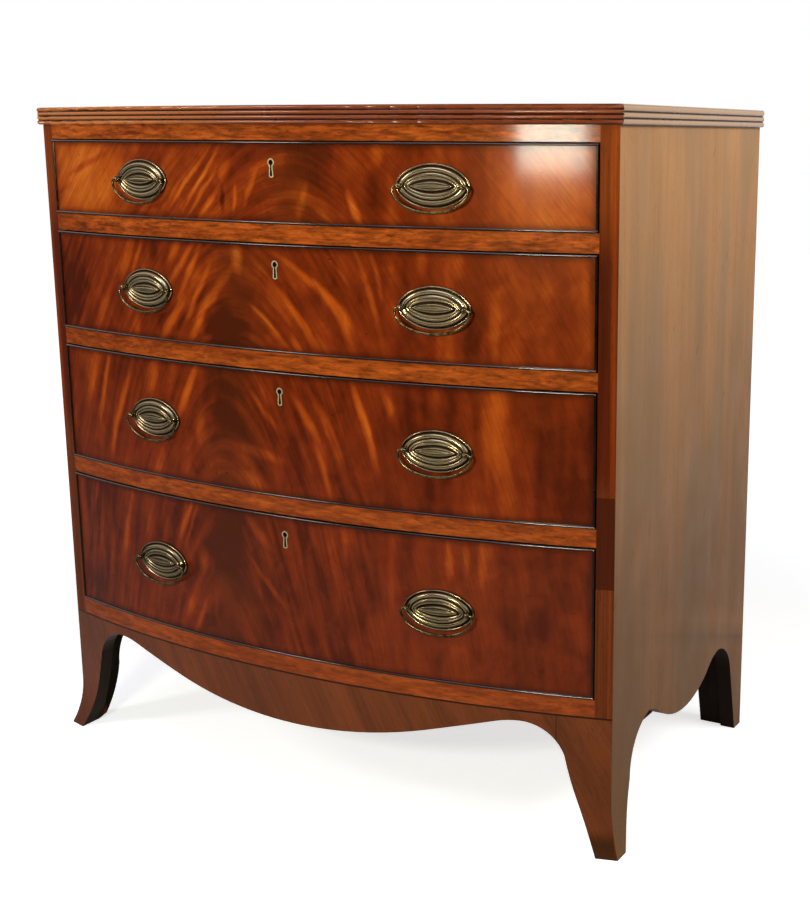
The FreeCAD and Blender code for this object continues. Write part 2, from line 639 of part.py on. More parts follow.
def base():
    """Apron, foot facings, brackets and the blocks behind them."""
    inner = bow_cylinder("apron_back", "bow_radius - apron_thickness")
    outline = pad("base_front", "XZ", base_outline(), "-bow_rise", "3 * bow_rise")
    band = cut("base_band", common("base_behind", outline, doc.getObject("front_envelope")), inner)
    joint = "(half_width - joint_inset)"
    reach = "(half_width + 2 * foot_flare)"
    span = box("apron_span", (f"-{joint}", joint), ("-bow_rise * 2", "bow_rise"), ("0", "base_height"))
    node("apron", common("apron_board", band, span))
    facing = common("facing_blank", band, doc.getObject("end_envelope"),
                    box("facing_span", (joint, reach), ("-bow_rise * 2", "bow_rise"), ("0", "base_height")))
    facing = cut("right_facing", facing, mitre("behind_mitre", "bow_rise * 2"))
    node("front_feet", facing, mirror("left_facing", facing))
    bracket = pad("right_bracket", "XZ", [
        ("inner_half", "0"), ("inner_half", "base_height"), ("half_width - bracket_reach", "base_height"),
        ("half_width - bracket_reach", "base_height - bracket_ear"),
        ("half_width - bracket_knee", under("bracket_knee_drop"),
         "half_width - bracket_shin", under("bracket_shin_drop")),
        ("half_width - bracket_toe", "0")], "-side_depth", "bracket_thickness")
    node("rear_brackets", bracket, mirror("left_bracket", bracket))
    foot_blocks()
    glue_blocks()


def foot_blocks():
    """Corner blocks that stiffen the mitres behind the facings and the joints of the brackets."""
    across = ("inner_half - foot_block_width", "inner_half")
    blank = box("front_block_blank", across, ("-bow_rise", "foot_block_depth"),
                ("foot_block_lift", "base_height"))
    front = common("right_front_block", blank, doc.getObject("apron_back"))
    inside = "side_depth - bracket_thickness"
    rear = box("right_rear_block", across, (f"{inside} - foot_block_width", inside),
               ("rear_block_lift", "drawer_4_floor - bottom_board_thickness"))
    node("foot_blocks", front, mirror("left_front_block", front), rear, mirror("left_rear_block", rear))


def glue_blocks():
    blocks = []
    for index, place in enumerate(("glue_block_place", "(glue_block_place + glue_block_step)"), 1):
        blank = box(f"glue_block_{index}_blank",
                    (f"{place} - glue_block_length / 2", f"{place} + glue_block_length / 2"),
                    ("-bow_rise", f"{bow_y('bow_radius - apron_thickness', place)} + glue_block_width"),
                    ("base_height - glue_block_width", "base_height"))
        blocks.append(common(f"glue_block_{index}", blank, doc.getObject("apron_back")))
    blocks.append(box("end_block", ("inner_half - glue_block_width", "inner_half"),
                      ("end_block_start", "end_block_start + end_block_length"),
                      ("base_height - end_block_drop", "drawer_4_floor - bottom_board_thickness")))
    node("glue_blocks", *blocks, *[mirror(f"left_{item.Name}", item) for item in blocks])


def drawer_stops():
    blank = box("stop_blank", ("stop_place", "stop_place + stop_length"), ("-bow_rise", "stop_back"),
                ("0", "stop_height"))
    right = common("right_stop", blank, bow_cylinder("stop_face", "inner_face - stop_gap"))
    left = mirror("left_stop", right)
    node("drawer_stops", *[group(f"stops_{number}", right, left, lift=f"drawer_{number}_floor")
                           for number in DRAWERS])


def keyhole(shrink):
    """A keyhole's outline below the drawer's top edge, drawn in by this much all round."""
    head, foot = f"(key_head - {shrink})", f"(key_foot - {shrink})"
    neck = f"(key_neck - {shrink})"
    crown = f"(key_height / 2 - key_drop - {shrink})"
    sole = f"({shrink} - key_drop - key_height / 2)"
    throat = f"(key_height / 2 - key_drop - key_head - sqrt({head}^2 - {neck}^2))"
    heel = f"({sole} + {foot} / 2)"
    return [(foot, heel), ("0", sole, f"-{foot}", heel), (f"-{neck}", throat), ("0", crown, neck, throat)]


def lock_pieces():
    """Escutcheon, lock and bolt, with z = 0 at the top edge of a drawer front."""
    seat = pad("escutcheon_seat", "XZ", keyhole("0"), "bow_rise - key_depth", "key_depth + key_proud")
    way = pad("key_way", "XZ", keyhole("key_thread"), "lock_depth - lock_face",
              "bow_rise + 2 * key_proud - lock_depth + lock_face")
    ring = cut("escutcheon", seat, way)
    half_plate, half_case = "(lock_width / 2)", "(lock_width / 2 - lock_margin)"
    front = "lock_face - lock_depth"
    case = box("lock_case", (f"-{half_case}", half_case), (front, "lock_face"),
               ("lock_margin - lock_height", "0"))
    plate = box("lock_back", (f"-{half_plate}", half_plate), ("lock_face", "lock_face + lock_plate"),
                ("-lock_height", "0"))
    selvage = box("lock_selvage", (f"-{half_plate}", half_plate), (front, "lock_face"), ("-lock_plate", "0"))
    pin = doc.addObject("Part::Cylinder", "key_pin")
    pin.Placement = FreeCAD.Placement(Vector(), FreeCAD.Rotation(Vector(1, 0, 0), 90))
    bind(pin, Radius="key_pin_radius", Height="bow_rise + lock_face - lock_depth - key_depth",
         Placement__Base__y=front, Placement__Base__z="key_height / 2 - key_drop - key_head")
    whole = fuse("lock_whole", case, plate, selvage, pin)
    slot = box("bolt_slot", ("-(bolt_width / 2 + bolt_gap)", "bolt_width / 2 + bolt_gap"),
               ("bolt_back - bolt_thickness - bolt_gap", "bolt_back + bolt_gap"),
               ("-(bolt_height + bolt_gap)", "lock_plate"))
    bolt = box("bolt", ("-bolt_width / 2", "bolt_width / 2"), ("bolt_back - bolt_thickness", "bolt_back"),
               ("-bolt_height", "0"))
    return {"escutcheon": ring, "lock": cut("lock", whole, slot), "bolt": bolt, "seats": whole,
            "ways": fuse("key_ways", seat, way)}


def at_handle(thing):
    """Sets a handle piece square on the bowed face, at the right-hand handle's place."""
    thing.Placement = FreeCAD.Placement(Vector(), FreeCAD.Rotation(Vector(0, 0, 1), 1))
    return bind(thing, Placement__Base__x="handle_place", Placement__Base__y="handle_face",
                Placement__Rotation__Angle="handle_turn")


def handle_plate():
    """A pressed oval plate: a beaded rim, two nested ridges and a pointed oval in its middle."""
    body = pad("plate_body", "XZ", oval("plate"), "-plate_height", "2 * plate_height")
    eye = [("0", "eye_half_height", "eye_half_length", "0"),
           ("0", "-eye_half_height", "-eye_half_length", "0")]
    tiers = [
        ("rim", [oval("plate"), oval("plate", "rim_width")], RIDGE_SLOPE),
        ("outer", [oval("outer"), oval("outer", "outer_width")], RIDGE_SLOPE),
        ("inner", [oval("inner"), oval("inner", "inner_width")], RIDGE_SLOPE),
        ("eye", [eye], EYE_SLOPE),
    ]
    for name, loops, slope in tiers:
        tier = body.newObject("PartDesign::Pad", name + "_tier")
        tier.Profile = body_sketch(body, name + "_outline", "XZ", loops, "plate_height")
        tier.TaperAngle = slope
        bind(tier, Length=f"{name}_height")
    return at_handle(body)


def handle_post():
    """A turned post with a collar, a neck and a bored round head, and the nut behind the drawer front."""
    shoulder = "-(plate_height + collar_height)"
    body = doc.addObject("PartDesign::Body", "post_body")
    turning = body.newObject("PartDesign::Revolution", "post_turning")
    profile = body_sketch(body, "post_profile", "XY", [[
        ("0", "nut_seat + nut_thickness + post_tail"), ("post_shank", "nut_seat + nut_thickness + post_tail"),
        ("post_shank", "-plate_height"), ("post_collar", "-plate_height"), ("post_collar", shoulder),
        ("post_neck", shoulder), ("post_neck", "sqrt(post_ball^2 - post_neck^2) - bail_stand"),
        ("post_ball", "-bail_stand", "0", "-(bail_stand + post_ball)")]])
    turning.Profile = profile
    turning.ReferenceAxis = (profile, ["V_Axis"])
    turning.Angle = 360
    bind(body, Placement__Base__x="post_place")
    bore = doc.addObject("Part::Cylinder", "post_bore")
    bore.Placement = FreeCAD.Placement(Vector(), FreeCAD.Rotation(Vector(0, 1, 0), 90))
    bind(bore, Radius="bail_wire + bail_gap", Height="4 * post_ball",
         Placement__Base__x="post_place - 2 * post_ball", Placement__Base__y="-bail_stand")
    nut = doc.addObject("Part::Prism", "nut_blank")
    nut.Polygon = 4
    nut.Placement = FreeCAD.Placement(Vector(), FreeCAD.Rotation(Vector(1, 0, 0), -90))
    bind(nut, Circumradius="nut_radius", Height="nut_thickness",
         Placement__Base__x="post_place", Placement__Base__y="nut_seat")
    post = cut("post", body, bore)
    return post, cut("nut", nut, body)


def handle_bail():
    """A round wire that hangs below the plate, with its ends turned in through the posts."""
    end, bend = "bail_half_length", "bail_corner"
    soft = f"{bend} * (1 - sqrt(0.5))"
    middle = "(bail_half_length - bail_end_radius)"
    meet = (f"({middle} + bail_end_radius * bail_cosine)", f"-({bend} + bail_end_radius * bail_sine)")
    lean = "sqrt(2 + 2 * bail_cosine)"
    swell = (f"({middle} + bail_end_radius * (1 + bail_cosine) / {lean})",
             f"-({bend} + bail_end_radius * bail_sine / {lean})")
    tip = "(post_place - bail_pin_end)"
    path = free_sketch("bail_path", "XZ", [[
        (f"-{tip}", "0"), (f"-({end} - {bend})", "0"),
        (f"-({end} - {soft})", f"-{soft}", f"-{end}", f"-{bend}"),
        (f"-{swell[0]}", swell[1], f"-{meet[0]}", meet[1]),
        ("0", "-bail_drop", meet[0], meet[1]),
        (swell[0], swell[1], end, f"-{bend}"),
        (f"{end} - {soft}", f"-{soft}", f"{end} - {bend}", "0"),
        (tip, "0")]], "bail_stand", closed=False)
    section = doc.addObject("Part::Circle", "bail_section")
    section.Placement = FreeCAD.Placement(Vector(), FreeCAD.Rotation(Vector(0, 1, 0), 90))
    bind(section, Radius="bail_wire", Placement__Base__x=f"-{tip}", Placement__Base__y="-bail_stand")
    wire = doc.addObject("Part::Sweep", "bail_wire_sweep")
    wire.Sections = [section]
    wire.Spine = (path, [f"Edge{index}" for index in range(1, 8)])
    wire.Solid = True
    return wire


def handle_pieces():
    """Both handles of a drawer, with z = 0 at the middle of their plates."""
    post, nut = handle_post()
    posts = group("handle_post_pair", post, mirror("other_post", post))
    nuts = group("handle_nut_pair", nut, mirror("other_nut", nut))
    right_posts = at_handle(posts)
    right_nuts = at_handle(nuts)
    seat = bow_cylinder("plate_seat", "bow_radius", "-" + FAR, f"2 * {FAR}")
    plate = cut("right_plate", handle_plate(), seat, right_posts)
    right_bail = at_handle(group("right_bail", handle_bail()))
    left = {item.Name: mirror("left_" + item.Name, item)
            for item in (right_posts, right_nuts, plate, right_bail)}
    return {"plates": (plate, left[plate.Name]), "left_bail": left[right_bail.Name], "right_bail": right_bail,
            "posts": (right_posts, left[right_posts.Name]), "nuts": (right_nuts, left[right_nuts.Name])}


def dovetails(name, count, low, high, tip, root):
    """A row of tails across the whole drawer, widest at their tips."""
    wide = f"(({high} - ({low}) - {count - 1} * pin_width) / {count})"
    spread = f"sqrt(({root} - ({tip}))^2) / dovetail_slope"
    loops = []
    for index in range(count):
        bottom = f"({low} + {index} * ({wide} + pin_width))"
        top = f"({bottom} + {wide})"
        loops.append([(tip, bottom), (tip, top), (root, f"{top} - {spread}"), (root, f"{bottom} + {spread}")])
    return prisms(name, "YZ", loops, "-drawer_half", "2 * drawer_half")


def cockbeads(name, tall):
    """Rounded strips let into the edges of a drawer front: two long ones and two upright ones."""
    nose = "(bead_thickness / 2)"
    crown, inner = "(bow_centre - bow_radius - bead_proud)", "(bow_centre - bow_radius + bead_depth)"
    loops = []
    for floor in ("0", f"({tall} - bead_thickness)"):
        ceiling = f"({floor} + bead_thickness)"
        loops.append([(inner, floor), (inner, ceiling), (f"{crown} + {nose}", ceiling),
                      (crown, f"{floor} + {nose}", f"{crown} + {nose}", floor)])
    span = box(f"{name}_bead_span", ("-drawer_half", "drawer_half"), ("-2 * bow_rise", "bow_rise"),
               ("0", tall))
    long_beads = common(f"{name}_long_beads", bow_turn(f"{name}_bead_rings", loops), span)
    outside, inside = "drawer_half", "(drawer_half - bead_thickness)"
    tip = "(tail_tip - dovetail_lap - bead_proud)"
    loops = []
    for sign in ("", "-"):
        loops.append([(sign + inside, "tail_tip"), (sign + outside, "tail_tip"),
                      (sign + outside, f"{tip} + {nose}"),
                      (f"{sign}(drawer_half - {nose})", tip, sign + inside, f"{tip} + {nose}")])
    end_beads = prisms(f"{name}_end_beads", "XY", loops, "bead_thickness", f"{tall} - 2 * bead_thickness")
    return long_beads, end_beads


def drawer(number, lock, handle):
    name = f"drawer_{number}"
    tall = f"({name}_height - drawer_top_gap - drawer_run_gap)"
    floor = f"{name}_floor + drawer_run_gap"
    centre = f"{tall} / 2"
    beads = cockbeads(name, tall)
    side = box(f"{name}_side_blank", ("drawer_half - lining_thickness", "drawer_half"),
               ("tail_tip", "drawer_rear"), ("0", f"{tall} - lining_drop"))
    zones = group(f"{name}_side_zones", side, mirror(f"{name}_left_side_blank", side))
    plan = bowed_plan("(drawer_half - lining_thickness + bottom_groove)", "inner_face + bottom_groove",
                      rear="drawer_rear")
    bottom = pad(f"{name}_bottom_board", "XY", plan, "bottom_lift", "bottom_thickness")
    tails = common(f"{name}_front_tails", zones, dovetails(
        f"{name}_front_tail_row", FRONT_TAILS[number], "tail_margin", f"{tall} - lining_drop - tail_margin",
        "tail_tip", "tail_root"))
    plan = bowed_plan("drawer_half", "bow_radius", back="inner_face")
    blank = pad(f"{name}_front_blank", "XY", plan, "0", tall)
    seats = [group(f"{name}_lock_seat", lock["seats"], lift=tall),
             group(f"{name}_key_way", lock["ways"], lift=tall),
             group(f"{name}_post_holes", *handle["posts"], lift=centre)]
    front = cut(f"{name}_front_board", blank, *beads, tails, bottom, *seats)
    back = box(f"{name}_back_blank", ("-drawer_half", "drawer_half"),
               ("drawer_rear - lining_thickness", "drawer_rear"),
               ("bottom_lift + bottom_thickness", f"{tall} - back_drop"))
    rear_tails = common(f"{name}_rear_tails", zones, dovetails(
        f"{name}_rear_tail_row", REAR_TAILS[number], "bottom_lift + bottom_thickness + tail_margin",
        f"{tall} - back_drop - tail_margin", "drawer_rear", "drawer_rear - lining_thickness"))
    back = cut(f"{name}_back_board", back, rear_tails)
    right = cut(f"{name}_right_lining", side, front, back, bottom, beads[0])
    node(f"{name}_front", front, lift=floor)
    node(f"{name}_cockbead", *beads, lift=floor)
    node(f"{name}_linings", right, mirror(f"{name}_left_lining", right), back, lift=floor)
    node(f"{name}_bottom", bottom, lift=floor)
    node(f"{name}_escutcheon", lock["escutcheon"], lift=f"{floor} + {tall}")
    node(f"{name}_lock", lock["lock"], lift=f"{floor} + {tall}")
    node(f"{name}_lock_bolt", lock["bolt"], lift=f"{floor} + {tall}")
    node(f"{name}_handle_plates", *handle["plates"], lift=f"{floor} + {centre}")
    node(f"{name}_handle_posts", *handle["posts"], *handle["nuts"], lift=f"{floor} + {centre}")
    node(f"{name}_left_bail", handle["left_bail"], lift=f"{floor} + {centre}")
    node(f"{name}_right_bail", handle["right_bail"], lift=f"{floor} + {centre}")


def write_nodes():
    """Checks every object and every shape before anything is written."""
    doc.recompute()
    failed = [item.Name for item in doc.Objects if {"Invalid", "Error"} & set(item.State)]
    if failed:
        raise RuntimeError("failed: " + ", ".join(failed))
    for item in nodes:
        if item.Shape.isNull() or not item.Shape.isValid() or not item.Shape.Solids:
            raise RuntimeError("bad shape: " + item.Label)
    os.makedirs("parts", exist_ok=True)
    for item in nodes:
        item.Shape.exportStep(f"parts/{item.Label}.step")
        print(f"{item.Label}: {len(item.Shape.Solids)} solids, {item.Shape.Volume / 1000:.1f} cm3")


top_board()
carcass_boards()
base()
drawer_stops()
locks = lock_pieces()
handles = handle_pieces()
for number in DRAWERS:
    drawer(number, locks, handles)
write_nodes()
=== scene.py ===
import json
from functools import partial
from math import cos, hypot, pi, radians, sin

import bmesh
import bpy
from bpy.props import FloatProperty, FloatVectorProperty, IntProperty, PointerProperty
from mathutils import Matrix, Vector


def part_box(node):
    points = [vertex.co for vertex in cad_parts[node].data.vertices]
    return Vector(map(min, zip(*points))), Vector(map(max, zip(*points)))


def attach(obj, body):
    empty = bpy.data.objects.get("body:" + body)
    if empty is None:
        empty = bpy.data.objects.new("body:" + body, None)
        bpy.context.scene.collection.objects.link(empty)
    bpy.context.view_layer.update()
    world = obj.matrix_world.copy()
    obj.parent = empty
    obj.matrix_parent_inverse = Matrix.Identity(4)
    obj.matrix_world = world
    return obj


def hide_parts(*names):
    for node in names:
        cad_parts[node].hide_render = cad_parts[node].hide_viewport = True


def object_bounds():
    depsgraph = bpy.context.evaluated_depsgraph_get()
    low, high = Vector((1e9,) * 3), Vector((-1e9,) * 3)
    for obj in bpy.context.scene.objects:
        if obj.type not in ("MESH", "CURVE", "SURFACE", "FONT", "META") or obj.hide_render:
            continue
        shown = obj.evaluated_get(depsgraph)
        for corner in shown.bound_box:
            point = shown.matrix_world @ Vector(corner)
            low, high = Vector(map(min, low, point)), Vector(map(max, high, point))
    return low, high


bl_info = {
    "name": "Bow Front Chest",
    "version": (1, 0, 0),
    "blender": (4, 5, 0),
    "location": "3D Viewport > Sidebar > Chest",
    "description": "Gives a bow front chest of drawers its woods, brasses and studio",
    "category": "Object",
}

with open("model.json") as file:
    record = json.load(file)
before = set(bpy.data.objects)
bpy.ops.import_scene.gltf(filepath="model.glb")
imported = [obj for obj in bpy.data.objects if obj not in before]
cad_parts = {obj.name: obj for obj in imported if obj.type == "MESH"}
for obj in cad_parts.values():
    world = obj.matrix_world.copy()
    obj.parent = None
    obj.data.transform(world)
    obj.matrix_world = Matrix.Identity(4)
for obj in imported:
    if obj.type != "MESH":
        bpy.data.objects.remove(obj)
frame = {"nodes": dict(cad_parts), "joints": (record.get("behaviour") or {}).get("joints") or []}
CAD_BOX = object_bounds()
NODES = frame["nodes"]
JOINTS = frame["joints"]
DRAWERS = (1, 2, 3, 4)
BACK_BOARDS = 4
PHOTO_WIDTH, PHOTO_HEIGHT = 810, 900
MM = 0.001


def linear(code):
    """The linear colour of an sRGB hex code, fully opaque."""
    parts = [int(code[place:place + 2], 16) / 255 for place in (1, 3, 5)]
    return tuple(part / 12.92 if part <= 0.04045 else ((part + 0.055) / 1.055) ** 2.4
                 for part in parts) + (1.0,)


def grey(level):
    """A linear grey, fully opaque."""
    return (level, level, level, 1.0)


def colour(name, code, description):
    """A colour property, from an sRGB hex code."""
    return FloatVectorProperty(name=name, description=description, subtype="COLOR", size=4, min=0, max=1,
                               default=linear(code))


def length(name, millimetres, description):
    """A length property, from millimetres."""
    return FloatProperty(name=name, description=description, unit="LENGTH", default=millimetres * MM)


class ChestWoods(bpy.types.PropertyGroup):
    """Colours and pattern sizes of the woods."""

    flame_bright: colour("Flame bright", "#CC6C22", "brightest feathers of the flame veneer")
    flame_light: colour("Flame light", "#A6470F", "light feathers of the flame veneer")
    flame_middle: colour("Flame middle", "#782909", "body of the flame veneer")
    flame_dark: colour("Flame dark", "#481303", "dark stripes of the flame veneer")
    flame_heart: colour("Flame heart", "#3E1B08", "brown trunk in the middle of the flame")
    rail_light: colour("Rail light", "#AE5219", "light grain of the rails")
    rail_dark: colour("Rail dark", "#702A0B", "dark grain of the rails")
    stile_edge: colour("Stile edge", "#8E360A", "rubbed outer corner of the sides' front edges")
    stile_dark: colour("Stile dark", "#521504", "front edges of the sides beside the drawers")
    stile_middle: colour("Stile middle", "#5E200A", "middle of the sides' front edges")
    stile_figure: colour("Stile figure", "#8C7468", "dark grain of the sides' front edges")
    stile_repair: colour("Stile repair", "#390E05", "newer piece let into the right front edge")
    repair_foot: length("Repair foot", 346, "lower end of that piece")
    repair_head: length("Repair head", 460, "upper end of that piece")
    base_light: colour("Base light", "#703517", "light grain of the apron and feet")
    base_dark: colour("Base dark", "#4E230E", "dark grain of the apron and feet")
    side_light: colour("Side light", "#C8925F", "light grain of the sides")
    side_dark: colour("Side dark", "#B07F53", "dark grain of the sides")
    side_grey: colour("Side grey", "#A1805C", "faded patches of the sides")
    # Painted shade on the sides, darker lower down.
    side_shade: colour("Side age", "#B0A69C", "darkening of the sides lower down")
    top_light: colour("Top light", "#8A4424", "light grain of the top")
    # Painted light on the left of the top's front edge.
    top_lit: colour("Top rubbed", "#BE6E34", "left of the top's front edge")
    top_edge: colour("Top edge", "#BE936A", "reeded ends of the top")
    bead: colour("Cockbead", "#241008", "dark strips round the drawers")
    bead_dark: colour("Cockbead dark", "#120704", "dark grain of those strips")
    # Dirt and painted shade along the cockbeads.
    dirt: colour("Dirt", "#210A03", "dirt on the fronts along the cockbeads")
    line: colour("Line", "#170A05", "dark line under the bottom rail")
    # Stain and painted shade inside the feet.
    stain_and_shade: colour("Stain", "#17100A", "inside of the feet")
    stain_and_shade_light: colour("Stain light", "#2A1B12", "light grain inside the feet")
    deal_light: colour("Deal light", "#9A7850", "bare secondary wood")
    deal_dark: colour("Deal dark", "#6A4A2C", "aged streaks of the secondary wood")
    flame_contrast: FloatProperty(name="Flame contrast", description="strength of the flame's streaks",
                                  default=1.3)
    arch_width: length("Arch width", 100, "width over which the flame's arches turn over")
    feather_width: length("Feather width", 18, "width of one feather of the flame")
    band_width: length("Band width", 42, "width of the plain upright bands at the right")
    plain_start: length("Plain start", 50, "right of the middle, where the flame turns to plain bands")
    plain_full: length("Plain full", 220, "right of the middle, where those bands are fullest")
    trunk_rag: length("Trunk rag", 100, "how far the edge of the flame's trunk strays")
    trunk_near: length("Trunk near", 60, "ragged distance at which the trunk begins to fade")
    trunk_far: length("Trunk far", 125, "ragged distance at which the trunk ends")
    grain_width: length("Grain width", 9, "width of one stripe of straight grain")
    grain_run: length("Grain run", 320, "length of one stripe of straight grain")
    # Painted shade on the rails, darker lower down.
    rail_shade_foot: length("Rails dark", 200, "height at which the rails are darkest")
    rail_shade_head: length("Rails faded", 800, "height at which the rails are fully faded")
    # Where the painted light on the top's front begins and is strongest.
    lit_start: length("Rub start", 100, "right of the middle, where the top's front begins to be rubbed")
    lit_full: length("Rub full", -350, "left of the middle, where the top's front is rubbed most")
    top_end: length("Top end", 446, "half width of the top without its reeded ends")
    reed_depth: length("Reed depth", 0.8, "below the top's face, where its reeds begin")
    stile_inner: length("Stile inner", 37, "inner corner of a front edge, from the foot's outside")
    stile_outer: length("Stile outer", 15, "outer corner of a front edge, from the foot's outside")
    low_rub_foot: length("Low rub foot", 440, "height below which the front edges are rubbed")
    low_rub_head: length("Low rub head", 500, "height at which that rubbing ends")
    high_rub_foot: length("High rub foot", 720, "height at which the front edges are rubbed again")
    high_rub_head: length("High rub head", 820, "height above which they are rubbed most")
    side_shade_foot: length("Age foot", 300, "height at which the sides are darkest")
    side_shade_head: length("Age head", 860, "height at which the sides are not darkened")
    # A painted reflection on the sides: a pale and a dark line.
    reflection_foot: length("Mark foot", 200, "lower edge of the lines across the sides, at mid depth")
    reflection_head: length("Mark head", 280, "upper edge of those lines, at mid depth")
    reflection_fall: FloatProperty(name="Mark fall", description="how steeply those lines fall to the back",
                             default=0.32)
    reflection_fore: length("Mark fore", -150, "depth at which those lines are weakest")
    reflection_back: length("Mark back", 250, "depth at which those lines are strongest")
    # Where the stain and painted shade inside the sides end.
    stain_and_shade_foot: length("Stain foot", 170, "height below which the sides are stained inside")
    stain_and_shade_head: length("Stain head", 190, "height at which that stain ends")
    line_width: length("Line width", 2.6, "dark line under the bottom rail")
    toe_foot: length("Toe foot", 14, "height of the toe that is black with dirt")
    toe_head: length("Toe head", 36, "height at which that dirt ends")


class ChestMetals(bpy.types.PropertyGroup):
    """Colours of the fittings and sizes of the plates' pressed pattern."""

    brass_bright: colour("Brass bright", "#A08A66", "ridges rubbed bright")
    brass_dull: colour("Brass dull", "#241A0E", "tarnish in the hollows")
    wire: colour("Wire", "#7E6A44", "bails and posts")
    thread: colour("Thread", "#B4A27E", "brass threads of the keyholes")
    iron: colour("Iron", "#2B2724", "lock cases")
    iron_dark: colour("Iron dark", "#171513", "dark blotches of the lock cases")
    # Painted shade on the fittings, darker lower down.
    fittings_shade_foot: length("Clean foot", 300, "height at which the fittings are cleaned least")
    fittings_shade_head: length("Clean head", 750, "height at which the fittings are cleaned most")
    plate_half_height: length("Plate half height", 26.5, "oval plate")
    bail_half_length: length("Bail half length", 48.6, "middle of the bail's wire")
    bail_drop: length("Bail drop", 30.5, "lowest point of the bail's wire below its axis")
    bail_corner: length("Bail corner", 4, "bend at the bail's ends")
    bail_pin: length("Bail pin", 36.6, "inner end of the bail's pin from the middle of the plate")
    bail_wire: length("Bail wire", 1.5, "radius of the bail at its pins")
    bail_swell: FloatProperty(name="Bail swell", description="how much thicker the wire is below",
                              default=0.25)
    bail_stand: length("Bail stand", 9.6, "axis of a bail before the drawer's face")
    bow_radius: length("Bow radius", 1680.2, "radius of the bowed front")
    plate_steps: IntProperty(name="Plate steps", description="points round an oval plate", default=72)


class ChestStage(bpy.types.PropertyGroup):
    """Camera, lamps and floor."""

    camera_place: FloatVectorProperty(name="Camera place", description="where the camera stands",
                                      unit="LENGTH", default=(1.1311, -1.6794, 0.8805))
    camera_turn: FloatProperty(name="Camera turn", description="turn to the left of straight ahead",
                               subtype="ANGLE", default=radians(27.423))
    camera_pitch: FloatProperty(name="Camera pitch", description="tilt below the horizon",
                                subtype="ANGLE", default=radians(12.499))
    camera_roll: FloatProperty(name="Camera roll", description="tilt to one side",
                               subtype="ANGLE", default=radians(0.226))
    camera_focus: FloatProperty(name="Focal length", description="in pixels of the photograph", default=1421)
    axis_pixel: FloatProperty(name="Axis", description="pixel column that the camera points at",
                              default=554.2)
    floor: colour("Floor", "#E9E8E6", "plain floor")
    floor_radius: length("Floor radius", 9000, "round floor")
    floor_near: length("Floor near", 900, "from the middle, where the floor begins to fade to white")
    floor_far: length("Floor far", 2200, "from the middle, where the floor is white")
    mirror_fore: length("Mirror fore", -200, "depth at which gloss shows the floor dark")
    mirror_back: length("Mirror back", 1000, "depth at which gloss shows the floor white")
    key_power: FloatProperty(name="Key lamp", description="soft lamp straight ahead", default=17)
    left_power: FloatProperty(name="Left lamp", description="large soft lamp at the left", default=17)
    side_power: FloatProperty(name="Side lamp", description="soft lamp at the right", default=22)
    sky_power: FloatProperty(name="Sky lamp", description="cool soft lamp above", default=14)
    sky: colour("Sky", "#C4D2FF", "cool light from above")
    key: colour("Key", "#FAFFEC", "slightly yellow light from ahead")
    surround: FloatProperty(name="Surround", description="light that comes from all round", default=0.08)
    floor_glow: FloatProperty(name="Floor glow", description="lifts the floor to white in view", default=0.7)


def join(source, socket):
    """Joins a socket, or a node's first open output, to an input."""
    if isinstance(source, bpy.types.Node):
        source = next(output for output in source.outputs if output.enabled)
    socket.id_data.links.new(source, socket)


def add(tree, kind, inputs=(), stops=(), **settings):
    """Adds a node with its settings, its ramp's stops and its inputs: values, sockets or other nodes."""
    node = tree.nodes.new("ShaderNode" + kind)
    for key, value in settings.items():
        setattr(node, key, value)
    for place, (position, tone) in enumerate(stops):
        ramp = node.color_ramp.elements
        stop = ramp[place] if place < 2 else ramp.new(position)
        stop.position, stop.color = position, tone
    if not isinstance(inputs, dict):
        names = [place for place, socket in enumerate(node.inputs) if socket.enabled]
        inputs = dict(zip(names, inputs))
    for key, value in inputs.items():
        if isinstance(value, (bpy.types.Node, bpy.types.NodeSocket)):
            join(value, node.inputs[key])
        else:
            node.inputs[key].default_value = value
    return node


def new_material(name):
    """A new material: itself, what adds nodes to it, its shader, and the places and directions on it."""
    material = bpy.data.materials.new(name)
    material.use_nodes = True
    material.node_tree.nodes.clear()
    node = partial(add, material.node_tree)
    shader = node("BsdfPrincipled")
    node("OutputMaterial", (shader,))
    return material, node, shader, node("TexCoord").outputs


def dress(material, *names):
    """Puts a material on CAD nodes."""
    for name in names:
        if not NODES[name].material_slots:
            NODES[name].data.materials.append(material)
        for slot in NODES[name].material_slots:
            slot.material = material


# Settings of nodes that come up often.
SMOOTH = {"interpolation_type": "SMOOTHSTEP"}
TIMES = {"operation": "MULTIPLY"}
SCALED = {"operation": "MULTIPLY_ADD"}
MINUS = {"operation": "SUBTRACT"}
UNSIGNED = {"operation": "ABSOLUTE"}
LARGER = {"operation": "MAXIMUM"}
COLOURS = {"data_type": "RGBA"}
TINTED = {"blend_type": "MULTIPLY", "data_type": "RGBA"}

# Gloss of the wood itself, under its polish.
WARM_GLOSS = linear("#FFB070")

# Stripes this wide, in metres, go through a board unchanged.
THROUGH = 1.0


def stripes(node, place, widths, seed=0.0, detail=3.0, twist=0.0):
    """Noise drawn out into stripes that are so wide, in metres, along each axis."""
    scale = [1 / width for width in widths]
    shift = (seed, seed * 1.7, seed * 0.6)
    stretched = node("VectorMath", (place, scale, shift), **SCALED)
    return node("TexNoise", {"Vector": stretched, "Scale": 1.0, "Detail": detail, "Roughness": 0.55,
                             "Distortion": twist})


def lengthwise(along, width, reach):
    """Widths of stripes on each axis, so that they run along one of them."""
    return [reach if axis == along else width for axis in "XYZ"]


